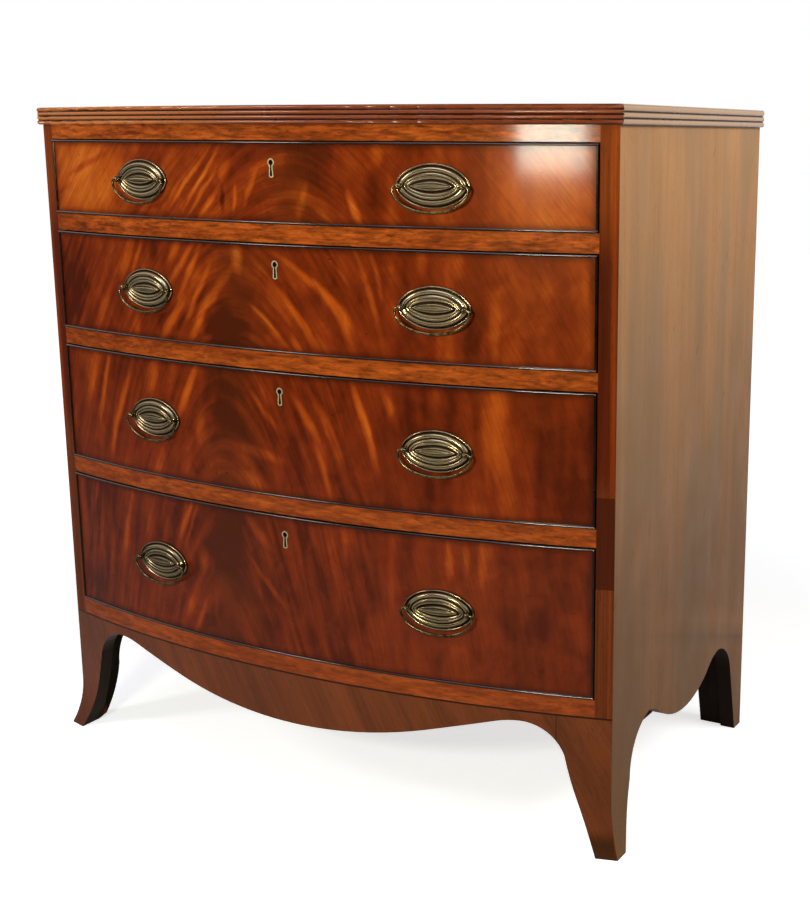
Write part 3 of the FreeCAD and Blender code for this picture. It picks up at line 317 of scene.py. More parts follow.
def grain(node, place, dark, light, along, woods, seed, spread=0.16, pores=0.5):
    """Straight grain: broad soft stripes, narrow ones in them, and short dark pores."""
    run = partial(lengthwise, along)
    broad = stripes(node, place, run(woods.grain_width * 3.5, woods.grain_run * 2), seed, twist=0.4)
    narrow = stripes(node, place, run(woods.grain_width / 3, woods.grain_run / 2), seed + 3)
    both = node("Mix", (0.4, broad, narrow))
    rise = node("MapRange", (both, 0.5 - spread, 0.5 + spread, 0.0, 1.0), **SMOOTH)
    tone = node("Mix", (rise, dark, light), **COLOURS)
    # Real pores are a third as wide, too fine to show.
    specks = stripes(node, place, run(1.7 * MM, 13 * MM), seed + 7, detail=2.0)
    dots = node("MapRange", (specks, 0.3, 0.42, pores, 0.0), **SMOOTH)
    return node("Mix", (dots, tone, grey(0.012)), **COLOURS)


def polish(node, shader, place, tone, roughness, coat, specular=0.25, ripple=0.04):
    """A hand rubbed polish: the wood glows warm under it, and lamps show in a thin clear gloss."""
    waves = stripes(node, place, (70 * MM, 70 * MM, 110 * MM), seed=21.0, detail=1.0)
    crazed = stripes(node, place, (7 * MM, 7 * MM, 5 * MM), seed=81.0, detail=2.0)
    uneven = node("Mix", (0.1, waves, crazed))
    bump = node("Bump", {"Height": uneven, "Strength": ripple, "Distance": 10 * MM})
    wear = stripes(node, place, (35 * MM, 35 * MM, 60 * MM), seed=31.0, detail=4.0)
    dull = node("MapRange", (wear, 0.3, 0.7, roughness - 0.06, roughness + 0.08))
    join(tone, shader.inputs["Base Color"])
    join(bump, shader.inputs["Normal"])
    join(dull, shader.inputs["Roughness"])
    shader.inputs["Specular IOR Level"].default_value = specular
    shader.inputs["Specular Tint"].default_value = WARM_GLOSS
    shader.inputs["Coat Weight"].default_value = coat
    shader.inputs["Coat Roughness"].default_value = 0.1


# Streaks of each drawer's flame: where one stands at the drawer's foot and head, how far it bows
# to the right between them and half its width, in millimetres; the height of its middle and half its
# length, as shares of the drawer's height; and how much lighter the wood is there.
FLAME_STREAKS = {
    1: [
        # The first of these is painted light: a broad lighter patch over the left end, where light from the
        # left falls.
        (-350, -350, 0, 120, 0.5, 0.9, 0.17), (-519, -262, 0, 20, 0.68, 0.2, -0.1),
        (-480, -250, 0, 16, 0.3, 0.2, -0.05), (-262, -235, 0, 16, 0.92, 0.2, 0.05),
        (-190, -92, 0, 7, 0.55, 0.5, 0.14), (-160, -77, 0, 6, 0.55, 0.55, 0.15),
        (-145, -62, 0, 6, 0.35, 0.4, 0.12), (-125, -40, 0, 8, 0.25, 0.3, 0.13),
        (-78, -70, -6, 6, 0.28, 0.2, -0.14), (-65, -60, 4, 4, 0.3, 0.25, 0.1),
        (-85, -60, -8, 11, 0.62, 0.2, 0.08), (-52, -2, -4, 7, 0.45, 0.35, 0.1),
        (-45, -45, 0, 30, 0.9, 0.2, -0.08), (60, 60, 0, 48, 0.8, 0.35, -0.06),
        (35, 65, 0, 9, 0.3, 0.3, 0.09), (127, 90, 0, 9, 0.22, 0.3, 0.17),
        (150, 150, 0, 24, 0.4, 0.5, -0.07), (205, 205, 0, 42, 0.95, 0.2, -0.04),
        (160, 150, 0, 13, 0.85, 0.2, 0.07), (360, 360, 0, 90, 0.4, 0.9, 0.12),
    ],
    2: [
        (-400, -400, 0, 65, 0.4, 0.8, -0.09), (-345, -325, 0, 16, 0.9, 0.15, 0.05),
        (-385, -300, 0, 8, 0.1, 0.15, 0.08), (-345, -262, 0, 15, 0.25, 0.3, 0.1),
        (-318, -252, 0, 14, 0.8, 0.3, 0.12), (-300, -232, 0, 6, 0.8, 0.3, 0.1),
        (-245, -205, 0, 14, 0.88, 0.2, -0.06), (-225, -165, 0, 12, 0.85, 0.25, 0.12),
        (-245, -135, 0, 10, 0.75, 0.35, 0.12), (-205, -120, 0, 9, 0.7, 0.4, 0.12),
        (-205, -100, 0, 12, 0.2, 0.3, 0.12), (-175, -88, 0, 8, 0.45, 0.45, 0.13),
        (-150, -75, 0, 12, 0.3, 0.35, 0.14), (-140, -40, -12, 13, 0.55, 0.3, 0.12),
        (-255, -235, 0, 11, 0.12, 0.15, 0.07), (-60, -62, 0, 13, 0.85, 0.2, 0.14),
        (-85, -85, 0, 48, 0.2, 0.33, -0.14), (25, -125, 0, 8, 0.3, 0.2, 0.14),
        (35, -40, 0, 9, 0.08, 0.15, 0.1), (110, -25, 42, 16, 0.5, 0.55, 0.15),
        (66, -60, 12, 12, 0.3, 0.35, 0.15), (140, 65, 20, 5, 0.8, 0.2, 0.07),
        (158, 118, 4, 7, 0.55, 0.5, 0.1), (170, 138, 3, 6, 0.75, 0.3, 0.1),
        (135, 95, 10, 11, 0.6, 0.35, -0.06), (218, 208, 0, 11, 0.9, 0.2, 0.08),
        (262, 252, 0, 13, 0.9, 0.2, 0.08), (297, 302, 0, 11, 0.3, 0.5, 0.08),
        (270, 280, 0, 15, 0.25, 0.3, -0.05), (412, 405, 0, 7, 0.75, 0.25, 0.06),
    ],
    3: [
        (-400, -350, 0, 23, 0.8, 0.4, 0.12), (-430, -380, 0, 13, 0.2, 0.4, 0.06),
        (-372, -318, 0, 8, 0.7, 0.4, 0.12), (-352, -335, 0, 12, 0.2, 0.3, 0.06),
        (-332, -262, -6, 10, 0.5, 0.55, 0.16), (-280, -220, 0, 17, 0.85, 0.3, 0.13),
        (-240, -180, 0, 14, 0.85, 0.3, 0.12), (-230, -138, 0, 11, 0.8, 0.35, 0.14),
        (-150, -128, 0, 17, 0.5, 0.2, 0.09), (-300, -270, 0, 19, 0.1, 0.25, 0.06),
        (-225, -200, 0, 22, 0.12, 0.25, 0.07), (-175, -140, 0, 15, 0.2, 0.25, 0.06),
        (-95, -95, 0, 42, 0.65, 0.5, -0.08), (110, -330, 0, 40, 0.34, 0.09, 0.09),
        (-60, -60, 0, 40, 0.1, 0.12, 0.06), (75, -75, 0, 10, 0.68, 0.2, 0.1),
        (96, 28, 18, 11, 0.55, 0.5, 0.12), (100, -5, 10, 11, 0.65, 0.3, 0.1),
        (74, 20, 6, 10, 0.25, 0.3, 0.1), (153, 108, 4, 9, 0.65, 0.45, 0.15),
        (215, 150, 0, 9, 0.82, 0.2, 0.1), (222, 222, 0, 13, 0.9, 0.15, 0.08),
        (290, 300, 0, 21, 0.75, 0.55, 0.09), (250, 255, 0, 9, 0.3, 0.4, 0.04),
        (380, 380, 0, 60, 0.5, 0.8, -0.03),
    ],
    4: [
        (-420, -402, 0, 11, 0.7, 0.35, 0.08), (-400, -390, 0, 9, 0.7, 0.4, -0.06),
        (-372, -356, 0, 9, 0.6, 0.35, 0.08), (-348, -334, 0, 9, 0.5, 0.35, 0.07),
        (-330, -288, 0, 13, 0.7, 0.4, 0.1), (-275, -245, 0, 13, 0.8, 0.3, 0.07),
        (-250, -162, 0, 8, 0.85, 0.25, 0.12), (-235, -150, 0, 5, 0.8, 0.25, 0.08),
        (-150, -140, 0, 13, 0.57, 0.13, 0.13), (-195, -100, 0, 13, 0.25, 0.3, 0.1),
        (-168, -80, 0, 8, 0.15, 0.2, 0.08), (-132, -110, 0, 6, 0.25, 0.12, 0.08),
        (-100, -95, 0, 40, 0.75, 0.4, -0.1), (100, -70, 0, 15, 0.85, 0.15, 0.09),
        (55, -120, 0, 8, 0.5, 0.22, 0.1), (95, 66, 3, 10, 0.75, 0.35, 0.09),
        (105, 90, 0, 7, 0.85, 0.2, 0.07), (40, 28, 0, 9, 0.85, 0.2, -0.06),
        (165, 160, 0, 9, 0.9, 0.25, 0.05), (240, 240, 0, 9, 0.85, 0.2, 0.09),
        (262, 262, 0, 8, 0.85, 0.2, 0.1), (283, 283, 0, 9, 0.85, 0.2, 0.06),
        (158, 162, 0, 7, 0.55, 0.2, 0.05),
    ],
}

# Streaks sway by so many millimetres.
SWAY = 8

# Place of the trunk in millimetres and how steeply the arches of each drawer's flame fall away from it.
FLAME_TRUNKS = {1: (35, 1.2), 2: (-60, 1.7), 3: (-85, 2.9), 4: (-95, 4.4)}


def flame_veneer(number, woods):
    """Flame mahogany, sliced through a crotch and French polished: feathers arch over a dark trunk."""
    material, node, shader, coords = new_material(f"French polished flame mahogany {number}")
    place = coords["Object"]
    low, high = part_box(f"drawer_{number}_front")
    across, _, up = node("SeparateXYZ", (place,)).outputs
    trunk_place, steep = FLAME_TRUNKS[number]
    off = node("Math", (across, trunk_place * MM), **MINUS)
    turned = node("Math", (off, off, woods.arch_width ** 2), **SCALED)
    turned = node("Math", (turned,), operation="SQRT")
    lean = node("Math", (off, 0.1 * steep, up), **SCALED)
    arch = node("Math", (turned, steep, lean), **SCALED)
    flow = node("CombineXYZ", (arch, up, across))
    width = woods.feather_width * hypot(1, steep)
    feathers = stripes(node, flow, (width, 220 * MM, 160 * MM), 4.0 + number, detail=2.0, twist=0.2)
    strands = stripes(node, flow, (width / 3, 90 * MM, 80 * MM), 9.0 + number, detail=2.0, twist=0.1)
    fibres = stripes(node, flow, (width / 9, 60 * MM, 50 * MM), seed=15.0, detail=2.0)
    bands = stripes(node, place, (woods.band_width, THROUGH, 400 * MM), 6.0 + number, detail=2.0, twist=0.3)
    plain = node("MapRange", (across, woods.plain_start, woods.plain_full, 0.0, 0.8), **SMOOTH)
    figure = node("Mix", (0.4, feathers, strands))
    figure = node("Math", (figure, 0.48, 0.24), **SCALED)
    soft = node("Math", (bands, 0.5, 0.24), **SCALED)
    level = node("Mix", (plain, figure, soft))
    mottled = stripes(node, place, (28 * MM, THROUGH, 36 * MM), 51.0 + number, detail=4.0, twist=0.4)
    mottled = node("Math", (mottled, -0.5), operation="ADD")
    level = node("Math", (mottled, 0.26, level), **SCALED)
    share = node("MapRange", (up, low.z, high.z, 0.0, 1.0))
    belly = node("Math", (share, share), **TIMES)
    belly = node("Math", (share, belly), **MINUS)
    sway = stripes(node, place, (30 * MM, THROUGH, 50 * MM), seed=2.0, detail=1.0)
    swayed = node("Math", (sway, SWAY * MM, across), **SCALED)
    for foot, head, bow, half, middle, reach, lift in FLAME_STREAKS[number]:
        aside = node("Math", (share, (foot - head) * MM, swayed), **SCALED)
        aside = node("Math", (belly, -4 * bow * MM, aside), **SCALED)
        spot = node("CombineXYZ", (aside, share))
        size = (1 / (half * MM), 1 / reach, 0.0)
        shift = (-(foot + SWAY / 2) / half, -middle / reach, 0.0)
        spot = node("VectorMath", (spot, size, shift), **SCALED)
        spot = node("VectorMath", (spot,), operation="LENGTH").outputs["Value"]
        spot = node("Math", (strands, 0.5, spot), **SCALED)
        spot = node("MapRange", (spot, 0.4, 1.3, lift * woods.flame_contrast, 0.0), **SMOOTH)
        level = node("Math", (level, spot), operation="ADD")
    # Painted shade: each drawer is a little darker than the one above it, as less light falls lower down.
    level = node("Math", (level, (2 - number) * 0.03), operation="ADD")
    tone = node("ValToRGB", (level,), [
        (0.36, woods.flame_dark), (0.82, woods.flame_bright), (0.51, woods.flame_middle),
        (0.66, woods.flame_light)])
    aside = node("Math", (off,), **UNSIGNED)
    ragged = node("Math", (strands, woods.trunk_rag, aside), **SCALED)
    trunk = node("MapRange", (ragged, woods.trunk_near, woods.trunk_far, 0.42, 0.0), **SMOOTH)
    tone = node("Mix", (trunk, tone, woods.flame_heart), **COLOURS)
    streak = node("MapRange", (fibres, 0.3, 0.6, 0.28, 0.0), **SMOOTH)
    tone = node("Mix", (streak, tone, woods.flame_heart), **COLOURS)
    # Small dents and scratches have filled with dark wax.
    dents = stripes(node, place, (11 * MM, THROUGH, 3.5 * MM), 41.0 + number, detail=1.0, twist=0.5)
    dents = node("MapRange", (dents, 0.2, 0.26, 0.6, 0.0), **SMOOTH)
    tone = node("Mix", (dents, tone, woods.bead), **COLOURS)
    # Dirt and painted shade lie along the beads.
    floor_gap = node("Math", (up, low.z), **MINUS)
    head_gap = node("Math", (high.z, up), **MINUS)
    outward = node("Math", (across,), **UNSIGNED)
    end_gap = node("Math", (high.x, outward), **MINUS)
    edge = node("Math", (floor_gap, head_gap), operation="MINIMUM")
    edge = node("Math", (edge, end_gap), operation="MINIMUM")
    dirt = node("MapRange", (edge, 2 * MM, 12 * MM, 0.55, 0.0), **SMOOTH)
    tone = node("Mix", (dirt, tone, woods.dirt), **COLOURS)
    polish(node, shader, place, tone, roughness=0.32, coat=0.14, specular=0.08)
    return material


def rail_wood(woods):
    """Mahogany facing, sawn along the grain and French polished: even and orange, with fine dark pores."""
    material, node, shader, coords = new_material("French polished mahogany rail")
    tone = grain(node, coords["Object"], woods.rail_dark, woods.rail_light, "X", woods, seed=33.0,
                 spread=0.2, pores=0.6)
    # Handling and old polish have left it blotched.
    blotch = stripes(node, coords["Object"], (26 * MM, THROUGH, 5 * MM), seed=71.0, detail=5.0, twist=0.5)
    blotch = node("MapRange", (blotch, 0.35, 0.65, 0.5, 1.35))
    tone = node("Mix", (1.0, tone, blotch), **TINTED)
    # Painted shade: the lower rails are darker, where less light falls, and the upper ones lighter.
    up = node("SeparateXYZ", (coords["Object"],)).outputs["Z"]
    rail_shade = node("MapRange", (up, woods.rail_shade_foot, woods.rail_shade_head, 0.5, 0.0))
    tone = node("Mix", (rail_shade, tone, woods.rail_dark), **COLOURS)
    polish(node, shader, coords["Object"], tone, roughness=0.36, coat=0.16, specular=0.08)
    return material


def bead_wood(woods):
    """Mahogany strip, scraped round and polished dark: nearly black, with a bright line of gloss."""
    material, node, shader, coords = new_material("Polished mahogany cockbead")
    tone = grain(node, coords["Object"], woods.bead_dark, woods.bead, "X", woods, seed=3.0,
                 spread=0.1, pores=0.3)
    polish(node, shader, coords["Object"], tone, roughness=0.2, coat=0.2, specular=0.15)
    # The crest and the rounded upper side are rubbed to a gloss.
    over = node("SeparateXYZ", (coords["Normal"],)).outputs["Z"]
    rubbed = node("MapRange", (over, 0.0, 0.08, 0.15, 1.0), **SMOOTH)
    join(rubbed, shader.inputs["Coat Weight"])
    return material


def top_wood(woods):
    """Mahogany board with a scratch stock reeded edge, French polished: painted shade between the reeds,
    painted light on the left of the front.
    """
    material, node, shader, coords = new_material("French polished mahogany top")
    place = coords["Object"]
    across, _, up = node("SeparateXYZ", (place,)).outputs
    _, out, over = node("SeparateXYZ", (coords["Normal"],)).outputs
    front = node("MapRange", (out, -0.5, -0.3, 1.0, 0.0), **SMOOTH)
    tone = grain(node, place, woods.rail_dark, woods.top_light, "X", woods, seed=5.0, spread=0.2)
    # Painted light: the left of the front is painted lighter, standing in for the glints of light on its
    # reeds.
    rubbed = node("MapRange", (across, woods.lit_start, woods.lit_full, 0.0, 0.75), **SMOOTH)
    rubbed = node("Math", (rubbed, front), **TIMES)
    tone = node("Mix", (rubbed, tone, woods.top_lit), **COLOURS)
    outward = node("Math", (across,), **UNSIGNED)
    ends = node("Math", (outward, woods.top_end), operation="GREATER_THAN")
    ends = node("Math", (ends, front), use_clamp=True, **MINUS)
    tone = node("Mix", (ends, tone, woods.top_edge), **COLOURS)
    # Painted shade: a reed's flank slopes where its hollow begins, so the slope shows where the hollows are
    # darkened with the line colour.
    slope = node("Math", (over,), **UNSIGNED)
    hollow = node("MapRange", (slope, 0.3, 0.8, 0.0, 0.85), **SMOOTH)
    below = node("Math", (up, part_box("top")[1].z - woods.reed_depth), operation="LESS_THAN")
    hollow = node("Math", (hollow, below), **TIMES)
    tone = node("Mix", (hollow, tone, woods.line), **COLOURS)
    polish(node, shader, place, tone, roughness=0.3, coat=0.35, ripple=0.0)
    return material


def base_wood(woods):
    """Mahogany veneer on a shaped apron, polished: slanting figure, a black line along the top."""
    material, node, shader, coords = new_material("French polished mahogany base")
    place = coords["Object"]
    across, _, up = node("SeparateXYZ", (place,)).outputs
    slanted = node("VectorRotate", {"Vector": place, "Axis": (0, 1, 0), "Angle": radians(-62)})
    tone = grain(node, slanted, woods.base_dark, woods.base_light, "X", woods, seed=12.0, spread=0.24,
                 pores=0.4)
    # A joint shows at each end of the apron.
    apron_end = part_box("apron")[1]
    outward = node("Math", (across,), **UNSIGNED)
    joint = node("Math", (outward, apron_end.x), **MINUS)
    joint = node("Math", (joint,), **UNSIGNED)
    joint = node("MapRange", (joint, 0.4 * MM, MM, 0.7, 0.0))
    line_floor = apron_end.z - woods.line_width
    line = node("MapRange", (up, line_floor, line_floor + 0.3 * MM, 0.0, 1.0))
    dark = node("Math", (joint, line), **LARGER)
    tone = node("Mix", (dark, tone, woods.line), **COLOURS)
    # Faces turned away from the front are dark with stain and painted shade.
    facing = node("SeparateXYZ", (coords["Normal"],)).outputs["Y"]
    back = node("MapRange", (facing, -0.6, -0.4, 0.0, 1.0))
    tone = node("Mix", (back, tone, woods.stain_and_shade), **COLOURS)
    # The right toe is dark with wax and dirt.
    grime = node("MapRange", (up, woods.toe_foot, woods.toe_head, 0.9, 0.0), **SMOOTH)
    right = node("Math", (across, 0.0), operation="GREATER_THAN")
    grime = node("Math", (grime, right), **TIMES)
    tone = node("Mix", (grime, tone, woods.bead), **COLOURS)
    polish(node, shader, place, tone, roughness=0.38, coat=0.1)
    return material


def side_wood(woods):
    """Mahogany board, planed and waxed: upright soft stripes, tan with light, and a dark front edge."""
    material, node, shader, coords = new_material("Waxed mahogany side")
    place = coords["Object"]
    across, back, up = node("SeparateXYZ", (place,)).outputs
    turn_x, turn_y, _ = node("SeparateXYZ", (coords["Normal"],)).outputs
    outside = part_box("right_side")[1].x
    tone = grain(node, place, woods.side_dark, woods.side_light, "Z", woods, seed=8.0, spread=0.22,
                 pores=0.2)
    aged = stripes(node, place, (110 * MM, 110 * MM, 450 * MM), seed=17.0, detail=2.0, twist=0.6)
    faded = node("MapRange", (aged, 0.42, 0.62, 0.0, 0.6), **SMOOTH)
    tone = node("Mix", (faded, tone, woods.side_grey), **COLOURS)
    # Painted shade: the sides are darker lower down, where less light falls.
    age = node("MapRange", (up, woods.side_shade_foot, woods.side_shade_head, 0.0, 1.0))
    age = node("Mix", (age, woods.side_shade, grey(1.0)), **COLOURS)
    tone = node("Mix", (1.0, tone, age), **TINTED)
    # A painted reflection crosses the lower part as a pale and a dark line, strongest at the back, and a few
    # scratches lie about.
    wave = node("Math", (back, woods.reflection_fall, up), **SCALED)
    wave = node("MapRange", (wave, woods.reflection_foot, woods.reflection_head, 0.0, 1.0))
    lines = node("ValToRGB", (wave,), [
        (0.1, grey(0.5)), (0.9, grey(0.5)), (0.31, grey(0.4)), (0.4, grey(0.5)), (0.62, grey(0.6))])
    hold = node("MapRange", (back, woods.reflection_fore, woods.reflection_back, 0.1, 1.0))
    tone = node("Mix", (hold, tone, lines), blend_type="OVERLAY", **COLOURS)
    scratches = node("VectorRotate", {"Vector": place, "Axis": (1, 0, 0), "Angle": radians(24)})
    scratches = stripes(node, scratches, (THROUGH, 4 * MM, 45 * MM), seed=61.0, detail=1.0)
    scratches = node("MapRange", (scratches, 0.19, 0.24, 0.5, 0.0), **SMOOTH)
    tone = node("Mix", (scratches, tone, woods.bead), **COLOURS)
    # The front edge is dark beside the drawers and rubbed lighter at its corner, below and at the top.
    outward = node("Math", (across,), **UNSIGNED)
    share = node("MapRange", (outward, outside - woods.stile_inner, outside - woods.stile_outer, 0.0, 1.0))
    stile = node("ValToRGB", (share,), [
        (0.05, woods.stile_dark), (1.0, woods.base_dark), (0.6, woods.stile_middle),
        (0.86, woods.stile_edge)])
    below = node("MapRange", (up, woods.low_rub_foot, woods.low_rub_head, 0.8, 0.0), **SMOOTH)
    stile = node("Mix", (below, stile, woods.base_light), **COLOURS)
    upper = node("MapRange", (up, woods.high_rub_foot, woods.high_rub_head, 0.0, 0.5), **SMOOTH)
    stile = node("Mix", (upper, stile, woods.rail_light), **COLOURS)
    figure = grain(node, place, woods.stile_figure, grey(1.0), "Z", woods, seed=28.0, spread=0.14)
    stile = node("Mix", (0.7, stile, figure), **TINTED)
    # A newer piece is let into the right one.
    above = node("Math", (up, woods.repair_foot), operation="GREATER_THAN")
    under = node("Math", (up, woods.repair_head), operation="LESS_THAN")
    right = node("Math", (across, 0.0), operation="GREATER_THAN")
    patch = node("Math", (above, under), **TIMES)
    patch = node("Math", (patch, right), **TIMES)
    patch = node("Math", (patch, 0.8), **TIMES)
    stile = node("Mix", (patch, stile, woods.stile_repair), **COLOURS)
    fore = node("Math", (back, 0.0), operation="LESS_THAN")
    facing = node("MapRange", (turn_y, -0.4, -0.6, 0.0, 1.0))
    fore = node("Math", (fore, facing), **TIMES)
    # The inner face is bare, and dark with stain and painted shade where it forms a foot.
    outer = node("Math", (across,), operation="SIGN")
    outer = node("Math", (turn_x, outer), **TIMES)
    hidden = node("MapRange", (outer, 0.5, 0.3, 0.0, 1.0))
    low_part = node("MapRange", (up, woods.stain_and_shade_foot, woods.stain_and_shade_head, 0.0, 1.0))
    inside = node("Mix", (low_part, woods.stain_and_shade, woods.deal_dark), **COLOURS)
    tone = node("Mix", (hidden, tone, inside), **COLOURS)
    tone = node("Mix", (fore, tone, stile), **COLOURS)
    polish(node, shader, place, tone, roughness=0.5, coat=0.04, specular=0.1, ripple=0.02)
    return material


def bare_wood(name, woods, along, seed, dark=None, light=None, boards=0):
    """Softwood, sawn and left bare: dull stripes, brown with age and dust."""
    material, node, shader, coords = new_material(name)
    place = coords["Object"]
    if boards:
        # The back is made of boards, no two alike, with a dark line at each joint.
        low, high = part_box("back_boards")
        up = node("SeparateXYZ", (place,)).outputs["Z"]
        count = node("MapRange", (up, low.z, high.z, 0.0, boards))
        whole = node("Math", (count,), operation="FLOOR")
        board = node("TexWhiteNoise", {"W": whole}, noise_dimensions="1D").outputs["Value"]
        place = node("VectorMath", (place, board), operation="ADD")
    broad = stripes(node, place, lengthwise(along, 30 * MM, 600 * MM), seed, twist=0.4)
    narrow = stripes(node, place, lengthwise(along, 4 * MM, 200 * MM), seed + 2)
    both = node("Mix", (0.5, broad, narrow))
    rise = node("MapRange", (both, 0.36, 0.62, 0.0, 1.0), **SMOOTH)
    tone = node("Mix", (rise, dark or woods.deal_dark, light or woods.deal_light), **COLOURS)
    if boards:
        shade = node("MapRange", (board, 0.0, 1.0, 0.75, 1.2))
        tone = node("Mix", (1.0, tone, shade), **TINTED)
        edge = node("Math", (count, 0.5), operation="PINGPONG")
        gap = node("MapRange", (edge, 0.004, 0.01, 0.8, 0.0))
        tone = node("Mix", (gap, tone, woods.stain_and_shade), **COLOURS)
    bump = node("Bump", {"Height": narrow, "Strength": 0.3, "Distance": 0.8 * MM})
    join(tone, shader.inputs["Base Color"])
    join(bump, shader.inputs["Normal"])
    shader.inputs["Roughness"].default_value = 0.8
    shader.inputs["Specular IOR Level"].default_value = 0.2
    return material


def aged_brass(name, metals, bright, pressed=False):
    """Brass, handled for years: bright where it is rubbed, with brown tarnish in the hollows."""
    material, node, shader, coords = new_material(name)
    # Blotches of patina are about 7 mm across.
    patina = node("TexNoise", {"Vector": coords["Object"], "Scale": 140.0, "Detail": 4.0, "Roughness": 0.6})
    amount = patina
    if pressed:
        rubbed = node("Attribute", attribute_name="rubbed").outputs["Fac"]
        amount = node("Mix", (0.8, patina, rubbed))
    share = node("MapRange", (amount, 0.25, 0.7, 0.0, 1.0), **SMOOTH)
    tone = node("Mix", (share, metals.brass_dull, bright), **COLOURS)
    # Painted shade: the lower fittings are darker, where less light falls.
    up = node("SeparateXYZ", (coords["Object"],)).outputs["Z"]
    lit = node("MapRange", (up, metals.fittings_shade_foot, metals.fittings_shade_head, 0.65, 1.0))
    tone = node("Mix", (1.0, tone, lit), **TINTED)
    gloss = node("MapRange", (amount, 0.2, 0.8, 0.36, 0.16))
    join(tone, shader.inputs["Base Color"])
    join(gloss, shader.inputs["Roughness"])
    shader.inputs["Metallic"].default_value = 1.0
    return material


def keyhole_thread(metals):
    """Drawn brass strip, let in flush and filed: a bright line on the face, its walls inside the keyhole
    painted near black as shade.
    """
    material, node, shader, coords = new_material("Filed brass thread")
    facing = node("SeparateXYZ", (coords["Normal"],)).outputs["Y"]
    face = node("MapRange", (facing, -0.6, -0.95, 0.0, 1.0), **SMOOTH)
    # Painted shade: the keyhole's inner walls are near black and not metallic.
    tone = node("Mix", (face, grey(0.004), metals.thread), **COLOURS)
    join(tone, shader.inputs["Base Color"])
    join(face, shader.inputs["Metallic"])
    shader.inputs["Roughness"].default_value = 0.6
    return material


def dark_iron(metals):
    """Wrought iron, filed and blacked: dull and slightly blotched."""
    material, node, shader, coords = new_material("Blacked wrought iron")
    # Blotches are about 8 mm across.
    blotch = node("TexNoise", {"Vector": coords["Object"], "Scale": 120.0, "Detail": 5.0})
    share = node("MapRange", (blotch, 0.3, 0.7, 0.0, 1.0), **SMOOTH)
    tone = node("Mix", (share, metals.iron_dark, metals.iron), **COLOURS)
    join(tone, shader.inputs["Base Color"])
    shader.inputs["Metallic"].default_value = 0.8
    shader.inputs["Roughness"].default_value = 0.5
    return material


class CHEST_OT_carcass(bpy.types.Operator):
    """Finishes the carcass: top, sides, rails, apron, feet and the bare wood inside"""

    bl_idname = "chest.carcass"
    bl_label = "Carcass"

    def execute(self, context):
        woods = context.scene.chest_woods
        dress(rail_wood(woods), "top_rail", "drawer_rails", "bottom_rail")
        dress(top_wood(woods), "top")
        dress(side_wood(woods), "left_side", "right_side")
        dress(base_wood(woods), "apron", "front_feet")
        dress(bare_wood("Sawn deal back", woods, "X", 1.0, boards=BACK_BOARDS), "back_boards")
        dress(bare_wood("Sawn deal along", woods, "X", 2.0), "dustboards", "bottom_board", "drawer_stops")
        dress(bare_wood("Sawn deal inward", woods, "Y", 4.0), "runners")
        # The blocks inside the feet and the carcass are dark with stain and painted shade.
        dress(bare_wood("Stained deal", woods, "Z", 7.0, woods.stain_and_shade, woods.stain_and_shade_light), "foot_blocks",
              "rear_brackets", "glue_blocks")
        return {"FINISHED"}


class CHEST_OT_drawers(bpy.types.Operator):
    """Finishes the drawers: flame veneered fronts, dark cockbeads and bare linings"""

    bl_idname = "chest.drawers"
    bl_label = "Drawers"

    def execute(self, context):
        woods = context.scene.chest_woods
        bead = bead_wood(woods)
        lining = bare_wood("Sawn deal lining", woods, "Y", 11.0)
        floor = bare_wood("Sawn deal drawer bottom", woods, "X", 14.0)
        for number in DRAWERS:
            dress(flame_veneer(number, woods), f"drawer_{number}_front")
            dress(bead, f"drawer_{number}_cockbead")
            dress(lining, f"drawer_{number}_linings")
            dress(floor, f"drawer_{number}_bottom")
        return {"FINISHED"}


class CHEST_OT_locks(bpy.types.Operator):
    """Finishes the locks, their bolts and the brass threads of the keyholes"""

    bl_idname = "chest.locks"
    bl_label = "Locks"

    def execute(self, context):
        metals = context.scene.chest_metals
        thread = keyhole_thread(metals)
        bolt = aged_brass("Cast brass bolt", metals, metals.brass_bright)
        iron = dark_iron(metals)
        for number in DRAWERS:
            dress(thread, f"drawer_{number}_escutcheon")
            dress(bolt, f"drawer_{number}_lock_bolt")
            dress(iron, f"drawer_{number}_lock")
        return {"FINISHED"}


# Pressed pattern of a plate, from its middle to its rim: share of the half height, half length in
# millimetres, how pointed the ends are, and height above the wood in millimetres.
PLATE_RINGS = [
    (0, 19.5, 1.9, 7.3), (0.06, 22.3, 1.8, 7.1), (0.11, 24.2, 1.75, 6.4), (0.145, 25.4, 1.7, 6.7),
    (0.17, 26.1, 1.7, 7.3), (0.195, 26.7, 1.7, 6.6), (0.22, 27.3, 1.65, 5.2), (0.26, 28.2, 1.6, 4.5),
    (0.31, 29.4, 1.5, 4.7), (0.36, 30.5, 1.45, 5.7), (0.4, 31.4, 1.45, 6.1), (0.435, 32.2, 1.4, 5.6),
    (0.46, 32.8, 1.4, 5.3), (0.485, 33.3, 1.35, 5.8), (0.525, 34.3, 1.3, 6.8), (0.56, 35.3, 1.3, 6.2),
    (0.595, 36.2, 1.3, 5), (0.625, 37, 1.25, 4.6), (0.66, 38, 1.2, 5.2), (0.71, 39.4, 1.2, 6),
    (0.77, 41.1, 1.2, 6), (0.82, 42.5, 1.2, 4.9), (0.86, 43.6, 1.15, 2.9), (0.885, 44.5, 1.15, 1.9),
    (0.915, 45.4, 1.15, 2.1), (0.945, 46.4, 1.15, 3.1), (0.97, 47.2, 1.15, 3.3), (0.99, 47.8, 1.15, 2.6),
    (1, 48.2, 1.15, 1.7), (1, 48.2, 1.15, 0.05),
]
WIRE_STEPS = 12
BEND_STEPS = 6
CURVE_STEPS = 32


